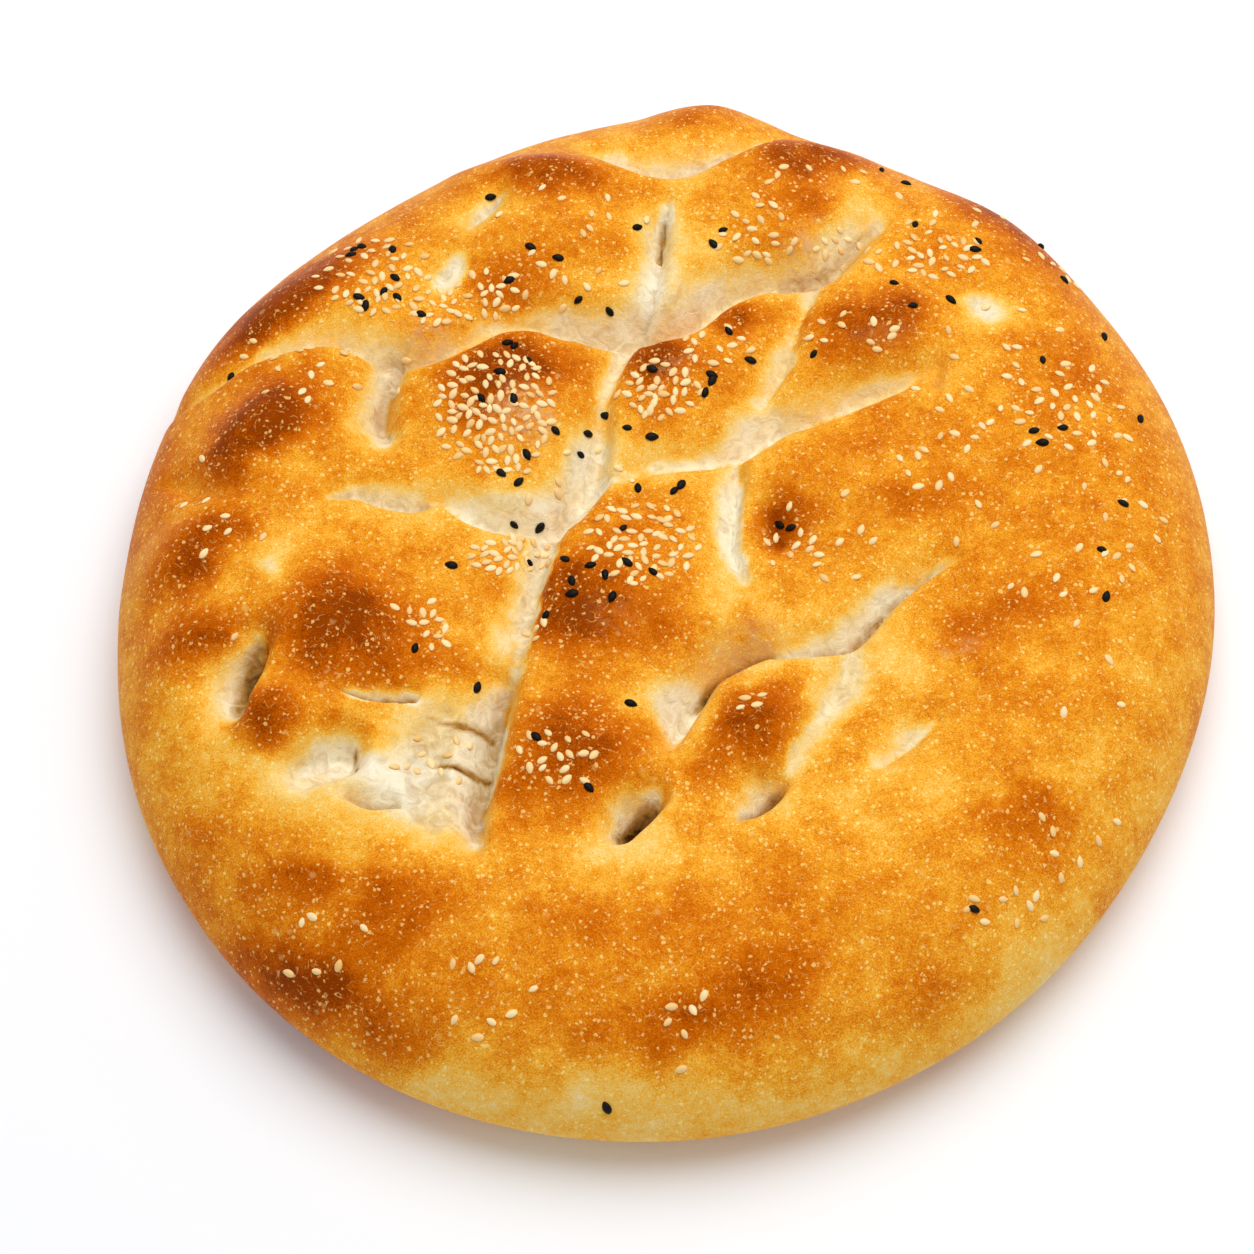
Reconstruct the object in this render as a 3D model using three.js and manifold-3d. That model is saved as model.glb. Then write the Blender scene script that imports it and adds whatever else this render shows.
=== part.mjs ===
// A round pide: a hand-shaped loaf of leavened flatbread, pressed with the fingertips so that the
// middle breaks up into puffed blocks between creases, with sesame and nigella seeds baked on.
// Millimetres, +Z up. The loaf lies on its flat base, with the middle of its outline at the origin,
// -Y the wide smooth rim and +Y the side where the creases run out over the edge.
import * as THREE from 'three';
import * as BufferGeometryUtils from 'three/addons/utils/BufferGeometryUtils.js';
import Module from 'manifold-3d';

const wasm = await Module();
wasm.setup();

// Half-width of the loaf at its widest level, every 30 degrees from +X towards +Y
const OUTLINE = [152, 157, 159, 163, 154, 153, 151, 157, 162, 160, 154, 149];

// Cross-section from the crown over the rim to the edge of the flat base:
// share of the half-width, height
const SECTION = [
  [0, 37], [0.4, 39.5], [0.7, 43.5], [0.85, 39.5],
  [0.95, 29.5], [1, 16], [0.965, 5.5], [0.895, 0],
];
const SECTION_STEPS = 200;
const BASE_STEPS = 20;
const MEAN_HALF_WIDTH = 155;

// How many corners a patch of skin gets for its area: all in the creased middle, fewer on the smooth
// rim beyond this share of the half-width, and fewest on the flat base
const RIM_FROM = 0.84;
const RIM_CORNERS = 0.4;
const BASE_CORNERS = 0.05;

// Fineness of the crust: splits along each edge of the starting icosahedron
const CRUST_SPLITS = 16;

// The relief fades out where the crust leans more than this share away from level
const RELIEF_FADE = 0.4;

// Creases pressed by the fingers. `left` and `right` are how far the wall on that side of the path
// reaches, `floor` is the half-width of the bottom, and each point of the path is x, y and the
// share of the depth and of the reach there
const CREASES = {
  longFarEnd: {
    depth: 6, left: 4, right: 12, floor: 0,
    path: [[1, 114, 0.4], [0, 106, 0.8], [-1, 96, 0.9], [-3, 84, 0.8], [-6, 73, 1]],
  },
  longMiddle: {
    depth: 10, left: 5, right: 13, floor: 1,
    path: [[-7, 74, 1], [-13, 62, 0.7], [-17, 50, 0.5], [-18, 38, 0.7], [-20, 26, 1], [-28, 12, 1]],
  },
  longNearHalf: {
    depth: 9, left: 4, right: 15, floor: 1,
    path: [[-27, 14, 1], [-33, -1, 0.9], [-36, -14, 0.8], [-38, -25, 0.7]],
  },
  longNearGap: {
    depth: 7, left: 5, right: 12, floor: 1,
    path: [[-38, -24, 0.6], [-40, -34, 0.5], [-42, -43, 0.6]],
  },
  longNearEnd: {
    depth: 12, left: 4, right: 17, floor: 1,
    path: [[-42, -42, 0.7], [-45, -54, 1.2], [-47, -67, 1.2], [-49, -78, 1], [-49, -88, 0.5]],
  },
  farLeftCross: {
    depth: 7, left: 14, right: 5, floor: 0,
    path: [[-142, 54, 0.3], [-128, 56, 0.4], [-117, 62, 0.5], [-103, 66, 0.8], [-93, 67, 1], [-84, 63, 1.1],
      [-74, 60, 1]],
  },
  behindSeededBlock: {
    depth: 10, left: 12, right: 5, floor: 1,
    path: [[-79, 60, 1], [-68, 61, 0.9], [-58, 65, 0.6], [-48, 72, 0.6], [-38, 74, 0.8], [-28, 72, 1]],
  },
  crossMiddle: {
    depth: 10, left: 14, right: 5, floor: 1,
    path: [[-28, 73, 0.9], [-18, 70, 1.2], [-7, 70, 1.2]],
  },
  crossRight: {
    depth: 10, left: 13, right: 5, floor: 1,
    path: [[-7, 70, 1.2], [6, 74, 1.1], [16, 83, 1], [28, 88, 0.9], [38, 88, 0.8]],
  },
  crossRightEnd: {
    depth: 8, left: 13, right: 6, floor: 1,
    path: [[34, 88, 1], [44, 90, 1.1], [53, 98, 1], [62, 109, 0.6]],
  },
  underFarRim: {
    depth: 8, left: 11, right: 5, floor: 1,
    path: [[-20, 135, 0.4], [-10, 130, 0.9], [2, 127, 0.9], [14, 131, 0.6], [27, 138, 0.6], [38, 146, 0.3]],
  },
  leftOfSeededBlock: {
    depth: 9, left: 4, right: 13, floor: 1,
    path: [[-74, 62, 0.9], [-77, 50, 1], [-78, 42, 1.2], [-77, 37, 0.8]],
  },
  betweenRightBlocks: {
    depth: 6, left: 5, right: 12, floor: 0,
    path: [[44, 89, 0.7], [38, 74, 0.7], [33, 60, 1], [27, 48, 0.8]],
  },
  rightCross: {
    depth: 8, left: 5, right: 13, floor: 1,
    path: [[76, 58, 0.4], [65, 53, 0.6], [52, 48, 0.8], [42, 44, 0.9], [32, 41, 1]],
  },
  rightCrossInner: {
    depth: 8, left: 5, right: 14, floor: 1,
    path: [[32, 41, 1], [25, 36, 1.1], [18, 31, 0.9], [7, 29, 0.55], [-4, 27, 0.4], [-14, 24, 0.3]],
  },
  leftPocket: {
    depth: 6, left: 11, right: 4, floor: 0,
    path: [[-92, 15, 0.4], [-84, 16, 0.8], [-76, 14, 1], [-68, 14, 1], [-62, 16, 0.5]],
  },
  crescent: {
    depth: 9, left: 13, right: 4, floor: 1,
    path: [[-62, 17, 0.4], [-52, 11, 0.9], [-40, 8, 1.1], [-28, 10, 1.2], [-19, 22, 1]],
  },
  betweenMiddleBlocks: {
    depth: 6, left: 4, right: 12, floor: 0,
    path: [[19, 33, 0.8], [20, 24, 1], [19, 15, 1], [18, 8, 1], [18, 0, 0.8], [21, -9, 0.4]],
  },
  deepPocket: { depth: 11, left: 13, right: 4, floor: 1, path: [[1, -58, 0.6], [5, -49, 1.1], [9, -43, 1]] },
  deepPocketFold: {
    depth: 12, left: 13, right: 4, floor: 0,
    path: [[8, -44, 0.7], [13, -38, 1.1], [21, -33, 1.2], [29, -31, 0.5]],
  },
  nearCross: {
    depth: 9, left: 13, right: 4, floor: 0,
    path: [[30, -32, 0.7], [38, -31, 0.8], [48, -29, 1.1], [54, -23, 1.1], [60, -16, 0.9], [68, -10, 0.6],
      [77, -4, 0.3]],
  },
  besideRoundBlock: {
    depth: 5, left: 14, right: 9, floor: 0,
    path: [[49, -32, 0.6], [46, -40, 1], [42, -48, 0.9], [36, -57, 0.8], [31, -68, 0.7]],
  },
  shallowRight: {
    depth: 5, left: 15, right: 6, floor: 0,
    path: [[56, -66, 0.7], [62, -61, 0.9], [70, -54, 0.4]],
  },
  leftEdge: {
    depth: 4, left: 12, right: 6, floor: 1,
    path: [[-138, 25, 0.5], [-128, 19, 1], [-118, 17, 0.5]],
  },
  broadNearValley: {
    depth: 6, left: 22, right: 20, floor: 3,
    path: [[-60, -52, 0.8], [-63, -66, 1.1], [-61, -80, 0.7]],
  },
  farValleyFold: {
    depth: 3, left: 10, right: 3, floor: 0,
    path: [[-64, -50, 0.3], [-56, -53, 1], [-46, -53, 1.2]],
  },
  nearValleyFold: {
    depth: 4, left: 9, right: 3, floor: 0,
    path: [[-64, -64, 0.3], [-56, -65, 1], [-47, -65, 1.3]],
  },
};

// Single fingertip holes and slits, in the same terms
const HOLES = {
  farLeft: {
    depth: 6, left: 10, right: 8, floor: 0,
    path: [[-48, 119, 0.7], [-52, 114, 1], [-57, 109, 0.9]],
  },
  secondFarLeft: { depth: 5, left: 12, right: 10, floor: 0, path: [[-61, 92, 0.8], [-64, 88, 0.9]] },
  farRightHollow: { depth: 4, left: 15, right: 15, floor: 0, path: [[88, 80, 0.7], [91, 77, 0.7]] },
  rightSlit: { depth: 4, left: 3, right: 5, floor: 0.5, path: [[77, 59, 0.8], [75, 52, 1]] },
  farSlit: { depth: 8, left: 3, right: 10, floor: 0, path: [[1, 112, 0.3], [0, 106, 0.9], [-1, 97, 1]] },
  seededHollow: { depth: 5, left: 15, right: 10, floor: 0, path: [[28, 12, 1], [30, 3, 1]] },
  deepNear: {
    depth: 13, left: 3, right: 12, floor: 1.5,
    path: [[-3, -76, 0.9], [-7, -80, 1.1], [-11, -85, 0.8]],
  },
  nearRight: {
    depth: 10, left: 3, right: 12, floor: 0.5,
    path: [[29, -73, 0.7], [27, -75, 1.1], [23, -79, 0.9], [19, -81, 0.5]],
  },
  leftUpper: { depth: 9, left: 7, right: 10, floor: 3, path: [[-85, -64, 1.1], [-95, -69, 0.7]] },
  leftLower: {
    depth: 8, left: 10, right: 3, floor: 0,
    path: [[-83, -77, 0.6], [-77, -79, 1], [-71, -78, 1.2]],
  },
  leftRim: {
    depth: 11, left: 4, right: 19, floor: 1.5,
    path: [[-108, -33, 0.7], [-110, -38, 1], [-112, -43, 1.1], [-113, -49, 0.7]],
  },
  leftSlit: { depth: 6, left: 8, right: 3, floor: 0, path: [[-86, -46, 0.5], [-77, -47, 1], [-67, -46, 1]] },
};
const MARK_BLEND = 4;
const PATH_STEPS = 4;

// The shortest wall that the corners of the crust can follow
const WALL_LEAST = 7;

// Corners of the crust nearer to a path than this are drawn in towards it, so that its line stays sharp
const PATH_PULL = 10;

// Puffed blocks between the creases: middle, rise, reach along and across, turn in degrees
const BLOCKS = {
  seeded: { at: [-46, 50], rise: 6, reach: [24, 18], turn: 0 },
  secondSeeded: { at: [2, 57], rise: 5, reach: [18, 15], turn: 30 },
  rightFar: { at: [58, 70], rise: 6, reach: [17, 12], turn: 10 },
  far: { at: [-32, 105], rise: 4, reach: [24, 20], turn: 0 },
  farRidge: { at: [-36, 127], rise: 4, reach: [22, 8], turn: -8 },
  farRight: { at: [34, 115], rise: 4, reach: [21, 18], turn: 0 },
  farRightRidge: { at: [38, 133], rise: 4, reach: [20, 8], turn: 5 },
  farHump: { at: [14, 152], rise: 6, reach: [17, 12], turn: 0 },
  leftFar: { at: [-104, 82], rise: 5, reach: [24, 12], turn: 35 },
  leftDark: { at: [-112, 37], rise: 6, reach: [16, 10], turn: 50 },
  leftEdge: { at: [-132, 0], rise: 4, reach: [16, 10], turn: 50 },
  largeBrown: { at: [-92, -24], rise: 6, reach: [17, 20], turn: -10 },
  middle: { at: [-14, -10], rise: 6, reach: [22, 24], turn: 0 },
  nearLeft: { at: [-26, -62], rise: 6, reach: [17, 17], turn: 0 },
  round: { at: [25, -55], rise: 6, reach: [14, 13], turn: 0 },
  smallBrown: { at: [-104, -52], rise: 5, reach: [10, 8], turn: 0 },
  rightMiddle: { at: [50, 20], rise: 4, reach: [26, 18], turn: 0 },
  rightFarSwelling: { at: [96, 112], rise: 4, reach: [26, 16], turn: -45 },
  leftSwelling: { at: [-128, -30], rise: 3, reach: [16, 12], turn: 60 },
};

// Seeds: teardrops sunk into the crust. Length, width and thickness of each kind, and how deep it sits
const SESAME = { long: 3.1, wide: 2.0, thick: 1.3, sunk: 0.35 };
const NIGELLA = { long: 3.4, wide: 2.1, thick: 1.8, sunk: 0.35 };
const SEED_SIDES = 5;
const SEED_RINGS = 3;
const SEED_TIP = 0.35;
const SEED_SPACE = 3.2;
const SEED_TRIES = 30;
const SEED_SPREAD = 1.6;
const SEED_SIZE_SPREAD = 0.12;
const SEED_START = 20261;
const DROP_HEIGHT = 100;

// Where the seeds lie: middle of each patch, its reach in X and Y, and how many of each kind
const PATCHES = {
  seededBlock: { at: [-48, 42], reach: [15, 15], sesame: 15, nigella: 5 },
  seededBlockBack: { at: [-42, 62], reach: [9, 8], sesame: 4, nigella: 4 },
  belowCrescent: { at: [-38, 0], reach: [10, 6], sesame: 6, nigella: 3 },
  middleBlock: { at: [-8, 2], reach: [12, 11], sesame: 11, nigella: 5 },
  middleBlockEdge: { at: [-26, -14], reach: [8, 9], sesame: 2, nigella: 2 },
  secondSeededBlock: { at: [-3, 50], reach: [8, 8], sesame: 6, nigella: 2 },
  secondSeededBlockBack: { at: [16, 64], reach: [9, 9], sesame: 3, nigella: 3 },
  longCrease: { at: [-20, 38], reach: [6, 8], sesame: 1, nigella: 3 },
  farBlock: { at: [-34, 98], reach: [20, 14], sesame: 2, nigella: 3 },
  leftOfFarBlock: { at: [-52, 86], reach: [8, 6], sesame: 3, nigella: 0 },
  farLeftEdge: { at: [-84, 90], reach: [14, 11], sesame: 7, nigella: 4 },
  farRightBlock: { at: [28, 108], reach: [13, 12], sesame: 3, nigella: 2 },
  rightFarBlock: { at: [76, 92], reach: [16, 9], sesame: 6, nigella: 2 },
  farRightEdge: { at: [112, 95], reach: [12, 10], sesame: 3, nigella: 4 },
  rightRim: { at: [117, 38], reach: [13, 12], sesame: 4, nigella: 2 },
  rightEdge: { at: [120, 2], reach: [8, 16], sesame: 1, nigella: 2 },
  seededHollow: { at: [33, 5], reach: [7, 7], sesame: 2, nigella: 2 },
  nearLeftBlock: { at: [-28, -66], reach: [10, 9], sesame: 5, nigella: 2 },
  nearValley: { at: [-60, -60], reach: [8, 7], sesame: 2, nigella: 0 },
  besideLargeBrown: { at: [-62, -28], reach: [4, 4], sesame: 2, nigella: 1 },
  nearRightRim: { at: [88, -104], reach: [14, 9], sesame: 3, nigella: 1 },
  nearRim: { at: [-20, -132], reach: [40, 16], sesame: 4, nigella: 1 },
};

// The curve from b to c that runs on smoothly from a and to d
function cubic(a, b, c, d, t) {
  const bend = (c - a) * t + (2 * a - 5 * b + 4 * c - d) * t * t + (3 * b - a - 3 * c + d) * t ** 3;
  return b + bend / 2;
}

// A path as a smooth line of shorter legs through the same points
function rounded(path) {
  const last = path.length - 1;
  const beyond = (end, next) => end.map((value, k) => 2 * value - next[k]);
  const padded = [beyond(path[0], path[1]), ...path, beyond(path[last], path[last - 1])];
  const legs = Array.from({ length: last * PATH_STEPS }, (_, step) => {
    const [a, b, c, d] = padded.slice(Math.floor(step / PATH_STEPS));
    return b.map((_value, k) => cubic(a[k], b[k], c[k], d[k], (step % PATH_STEPS) / PATH_STEPS));
  });
  return [...legs, path[last]];
}

const smooth = (t) => {
  const s = Math.min(Math.max(t, 0), 1);
  return s * s * (3 - 2 * s);
};

// Half-width of the loaf in a direction, by a smooth closed curve through the outline sizes
function halfWidth(angle) {
  const count = OUTLINE.length;
  const place = ((angle / (2 * Math.PI)) * count + count) % count;
  const i = Math.floor(place);
  const t = place - i;
  const [a, b, c, d] = [-1, 0, 1, 2].map((step) => OUTLINE[(i + step + count) % count]);
  return cubic(a, b, c, d, t);
}

// The cross-section as many small steps, each with the share of the whole skin that lies inside it,
// so that corners spread evenly over a sphere end up evenly over the crust
function skinSteps() {
  const points = SECTION.map(([share, z]) => new THREE.Vector2(share * MEAN_HALF_WIDTH, z));
  const curve = new THREE.SplineCurve(points);
  const rim = curve.getSpacedPoints(SECTION_STEPS);
  const edge = rim[rim.length - 1];
  const inward = (i) => new THREE.Vector2(edge.x * (1 - (i + 1) / BASE_STEPS), 0);
  const base = Array.from({ length: BASE_STEPS }, (_, i) => inward(i));
  const steps = [...rim, ...base].map((p) => ({ x: p.x, z: Math.max(p.y, 0), skin: 0, out: 0, up: 1 }));
  for (let i = 1; i < steps.length; i++) {
    const [a, b] = [steps[i - 1], steps[i]];
    const run = Math.hypot(b.x - a.x, b.z - a.z);
    const onTop = b.x < RIM_FROM * MEAN_HALF_WIDTH ? 1 : RIM_CORNERS;
    b.skin = a.skin + run * (a.x + b.x) * (i < rim.length ? onTop : BASE_CORNERS);
    b.out = (a.z - b.z) / run;
    b.up = (b.x - a.x) / run;
  }
  const whole = steps[steps.length - 1].skin;
  steps.forEach((step) => { step.skin /= whole; });
  return steps;
}

// The step of the cross-section where a value that grows along it is first reached
function stepAt(steps, key, value) {
  let i = 1;
  while (i < steps.length - 1 && steps[i][key] < value) i++;
  const [a, b] = [steps[i - 1], steps[i]];
  const t = b[key] === a[key] ? 0 : Math.min(Math.max((value - a[key]) / (b[key] - a[key]), 0), 1);
  const mix = (name) => a[name] + (b[name] - a[name]) * t;
  return { x: mix('x'), z: mix('z'), out: mix('out'), up: mix('up') };
}

const MARKS = [...Object.values(CREASES), ...Object.values(HOLES)].map((mark) => {
  return { ...mark, path: rounded(mark.path) };
});

// The nearest point of a mark's path, with the distance to it, the side and the share there
function nearestOn(path, x, y) {
  let nearest = { distance: Infinity };
  for (let i = 1; i < path.length; i++) {
    const [a, b] = [path[i - 1], path[i]];
    const [ux, uy] = [b[0] - a[0], b[1] - a[1]];
    const length = Math.hypot(ux, uy);
    const t = Math.min(Math.max(((x - a[0]) * ux + (y - a[1]) * uy) / length ** 2, 0), 1);
    const [dx, dy] = [x - a[0] - ux * t, y - a[1] - uy * t];
    const distance = Math.hypot(dx, dy);
    if (distance < nearest.distance) {
      const side = distance > 0 ? (ux * dy - uy * dx) / (length * distance) : 0;
      nearest = { distance, side, dx, dy, share: a[2] + (b[2] - a[2]) * t };
    }
  }
  return nearest;
}

// How deep one mark is at a point: full on its path, less up its two walls
function pressed(mark, x, y) {
  const { distance, side, share } = nearestOn(mark.path, x, y);
  const fullReach = mark.right + ((mark.left - mark.right) * (side + 1)) / 2;
  const reach = Math.max((fullReach * (1 + share)) / 2, WALL_LEAST);
  const wall = Math.max(0, 1 - Math.max(0, distance - mark.floor) / reach);
  return mark.depth * wall * wall * share;
}

function puffed(block, x, y) {
  const turn = THREE.MathUtils.degToRad(block.turn);
  const [dx, dy] = [x - block.at[0], y - block.at[1]];
  const along = (dx * Math.cos(turn) + dy * Math.sin(turn)) / block.reach[0];
  const across = (dy * Math.cos(turn) - dx * Math.sin(turn)) / block.reach[1];
  return block.rise * Math.exp(-(along * along + across * across));
}

// Height of the relief over the plain loaf
function relief(x, y) {
  const depth = MARKS.reduce((sum, mark) => sum + pressed(mark, x, y) ** MARK_BLEND, 0) ** (1 / MARK_BLEND);
  const rise = Object.values(BLOCKS).reduce((sum, block) => sum + puffed(block, x, y), 0);
  return rise - depth;
}

// A corner close to the path of a mark is drawn in towards it
function pulled(x, y) {
  const nearest = MARKS.map((mark) => nearestOn(mark.path, x, y)).sort((a, b) => a.distance - b.distance)[0];
  if (nearest.distance >= PATH_PULL) return [x, y];
  const left = nearest.distance / PATH_PULL;
  return [x - nearest.dx * (1 - left), y - nearest.dy * (1 - left)];
}

// Where a direction from the middle of the starting sphere ends up on the loaf
function onCrust(steps, direction) {
  const angle = Math.atan2(direction.y, direction.x);
  let step = stepAt(steps, 'skin', (1 - direction.z) / 2);
  const scale = halfWidth(angle) / MEAN_HALF_WIDTH;
  let [x, y] = [step.x * scale * Math.cos(angle), step.x * scale * Math.sin(angle)];
  if (step.z > 0 && step.up > RELIEF_FADE) {
    [x, y] = pulled(x, y);
    step = stepAt(steps, 'x', (Math.hypot(x, y) / halfWidth(Math.atan2(y, x))) * MEAN_HALF_WIDTH);
  }
  const push = step.z > 0 ? relief(x, y) * smooth(step.up / RELIEF_FADE) : 0;
  const out = push * step.out;
  return new THREE.Vector3(x + out * Math.cos(angle), y + out * Math.sin(angle), step.z + push * step.up);
}

// The crust and base as one closed skin
function loafGeometry() {
  let geometry = new THREE.IcosahedronGeometry(1, CRUST_SPLITS);
  geometry.deleteAttribute('normal');
  geometry.deleteAttribute('uv');
  geometry = BufferGeometryUtils.mergeVertices(geometry);
  const steps = skinSteps();
  const corner = geometry.getAttribute('position');
  const direction = new THREE.Vector3();
  for (let i = 0; i < corner.count; i++) {
    direction.fromBufferAttribute(corner, i);
    corner.setXYZ(i, ...onCrust(steps, direction).toArray());
  }
  geometry.computeVertexNormals();
  return geometry;
}

// One seed along +Y: a ball of few faces, pulled to a point at its tip
function seedGeometry(kind, size) {
  let geometry = new THREE.SphereGeometry(1, SEED_SIDES, SEED_RINGS);
  geometry.deleteAttribute('normal');
  geometry.deleteAttribute('uv');
  geometry = BufferGeometryUtils.mergeVertices(geometry);
  const corner = geometry.getAttribute('position');
  for (let i = 0; i < corner.count; i++) {
    const narrow = 1 - SEED_TIP * Math.max(corner.getY(i), 0);
    corner.setX(i, corner.getX(i) * narrow);
    corner.setZ(i, corner.getZ(i) * narrow);
  }
  geometry.scale((kind.wide / 2) * size, (kind.long / 2) * size, (kind.thick / 2) * size);
  return geometry;
}

// The same draws every time
function drawsFrom(start) {
  let state = start;
  return () => {
    state = (state * 16807) % 2147483647;
    return state / 2147483647;
  };
}

// One seed set on the crust, its flat side along the slope there
function seatedSeed(kind, hit, turn, size) {
  const lean = new THREE.Quaternion().setFromUnitVectors(new THREE.Vector3(0, 0, 1), hit.face.normal);
  const spin = new THREE.Quaternion().setFromAxisAngle(new THREE.Vector3(0, 0, 1), turn);
  const seat = hit.point.clone().addScaledVector(hit.face.normal, kind.thick * (0.5 - kind.sunk));
  const place = new THREE.Matrix4().compose(seat, lean.multiply(spin), new THREE.Vector3(1, 1, 1));
  return seedGeometry(kind, size).applyMatrix4(place);
}

// Every seed as a small solid lying on the crust, where its patch scatters it
function scatteredSeeds(crust) {
  const draw = drawsFrom(SEED_START);
  const spread = () => ((draw() + draw() + draw()) / 1.5 - 1) * SEED_SPREAD;
  const drop = new THREE.Raycaster();
  const down = new THREE.Vector3(0, 0, -1);
  const taken = [];
  const seeds = [];
  const lay = (kind, patch) => {
    for (let attempt = 0; attempt < SEED_TRIES; attempt++) {
      const [x, y] = [patch.at[0] + patch.reach[0] * spread(), patch.at[1] + patch.reach[1] * spread()];
      const turn = draw() * Math.PI * 2;
      const size = 1 + (draw() * 2 - 1) * SEED_SIZE_SPREAD;
      if (taken.some(([a, b]) => Math.hypot(a - x, b - y) < SEED_SPACE)) continue;
      drop.set(new THREE.Vector3(x, y, DROP_HEIGHT), down);
      const [hit] = drop.intersectObject(crust);
      if (!hit) continue;
      taken.push([x, y]);
      seeds.push(seatedSeed(kind, hit, turn, size));
      return;
    }
  };
  for (const patch of Object.values(PATCHES)) {
    for (let i = 0; i < patch.sesame; i++) lay(SESAME, patch);
    for (let i = 0; i < patch.nigella; i++) lay(NIGELLA, patch);
  }
  return seeds;
}

function toSolid(geometry) {
  const vertProperties = new Float32Array(geometry.getAttribute('position').array);
  const triVerts = new Uint32Array(geometry.getIndex().array);
  return new wasm.Manifold(new wasm.Mesh({ numProp: 3, vertProperties, triVerts }));
}

function toGeometry(solid) {
  const mesh = solid.getMesh();
  const geometry = new THREE.BufferGeometry();
  geometry.setAttribute('position', new THREE.BufferAttribute(mesh.vertProperties, 3));
  geometry.setIndex(new THREE.BufferAttribute(mesh.triVerts, 1));
  return geometry;
}

const crustMaterial = new THREE.MeshStandardMaterial({ color: '#d98f35', roughness: 0.6, metalness: 0 });

const skin = loafGeometry();
skin.computeBoundingBox();
const middle = skin.boundingBox.getCenter(new THREE.Vector3());
const seeds = scatteredSeeds(new THREE.Mesh(skin, crustMaterial));
const whole = seeds.reduce((solid, seed) => solid.add(toSolid(seed)), toSolid(skin));
const loafShape = toGeometry(whole).translate(-middle.x, -middle.y, 0);
loafShape.computeVertexNormals();

const loaf = new THREE.Mesh(loafShape, crustMaterial);
loaf.name = 'loaf';

const group = new THREE.Group();
group.add(loaf);
export default group;
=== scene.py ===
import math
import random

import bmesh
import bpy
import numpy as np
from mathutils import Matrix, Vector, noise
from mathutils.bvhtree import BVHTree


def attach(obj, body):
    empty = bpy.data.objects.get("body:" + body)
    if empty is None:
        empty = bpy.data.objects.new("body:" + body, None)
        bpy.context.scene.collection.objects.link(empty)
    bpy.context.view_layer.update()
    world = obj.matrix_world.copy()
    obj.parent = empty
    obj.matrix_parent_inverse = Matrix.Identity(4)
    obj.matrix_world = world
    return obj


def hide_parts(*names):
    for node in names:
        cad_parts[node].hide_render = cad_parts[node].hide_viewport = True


bl_info = {
    "name": "Round pide with sesame and nigella",
    "version": (1, 0, 0),
    "blender": (4, 5, 0),
    "location": "View3D > Sidebar > Pide",
    "description": "Dresses the packed loaf with its crust, its seeds and a plain stage",
    "category": "Object",
}

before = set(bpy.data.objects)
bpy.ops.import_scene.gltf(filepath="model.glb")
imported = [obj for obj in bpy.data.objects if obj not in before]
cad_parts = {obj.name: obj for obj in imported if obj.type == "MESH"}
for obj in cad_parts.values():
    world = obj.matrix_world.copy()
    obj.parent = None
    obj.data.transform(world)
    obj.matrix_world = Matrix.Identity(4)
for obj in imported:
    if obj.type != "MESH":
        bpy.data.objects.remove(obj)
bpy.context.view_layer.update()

MM = 0.001

# The loaf, in millimetres. Half-width at its widest level, every 30 degrees from +X towards +Y
OUTLINE = [152, 157, 159, 163, 154, 153, 151, 157, 162, 160, 154, 149]

# Cross-section from the crown over the rim to the edge of the flat base: share of the half-width, height
SECTION = [(0, 37), (0.4, 39.5), (0.7, 43.5), (0.85, 39.5), (0.95, 29.5), (1, 16), (0.965, 5.5), (0.895, 0)]
SECTION_STEPS = 60
MEAN_HALF_WIDTH = 155

# Corners for a patch of skin: all in the creased middle, fewer on the rim and fewest on the base, which
# is two rings under the grid, marked by their level
RIM_FROM = 0.84
RIM_CORNERS = 0.6
BASE_LEVELS = (-1, -2)
BASE_INSET = 0.96

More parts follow.
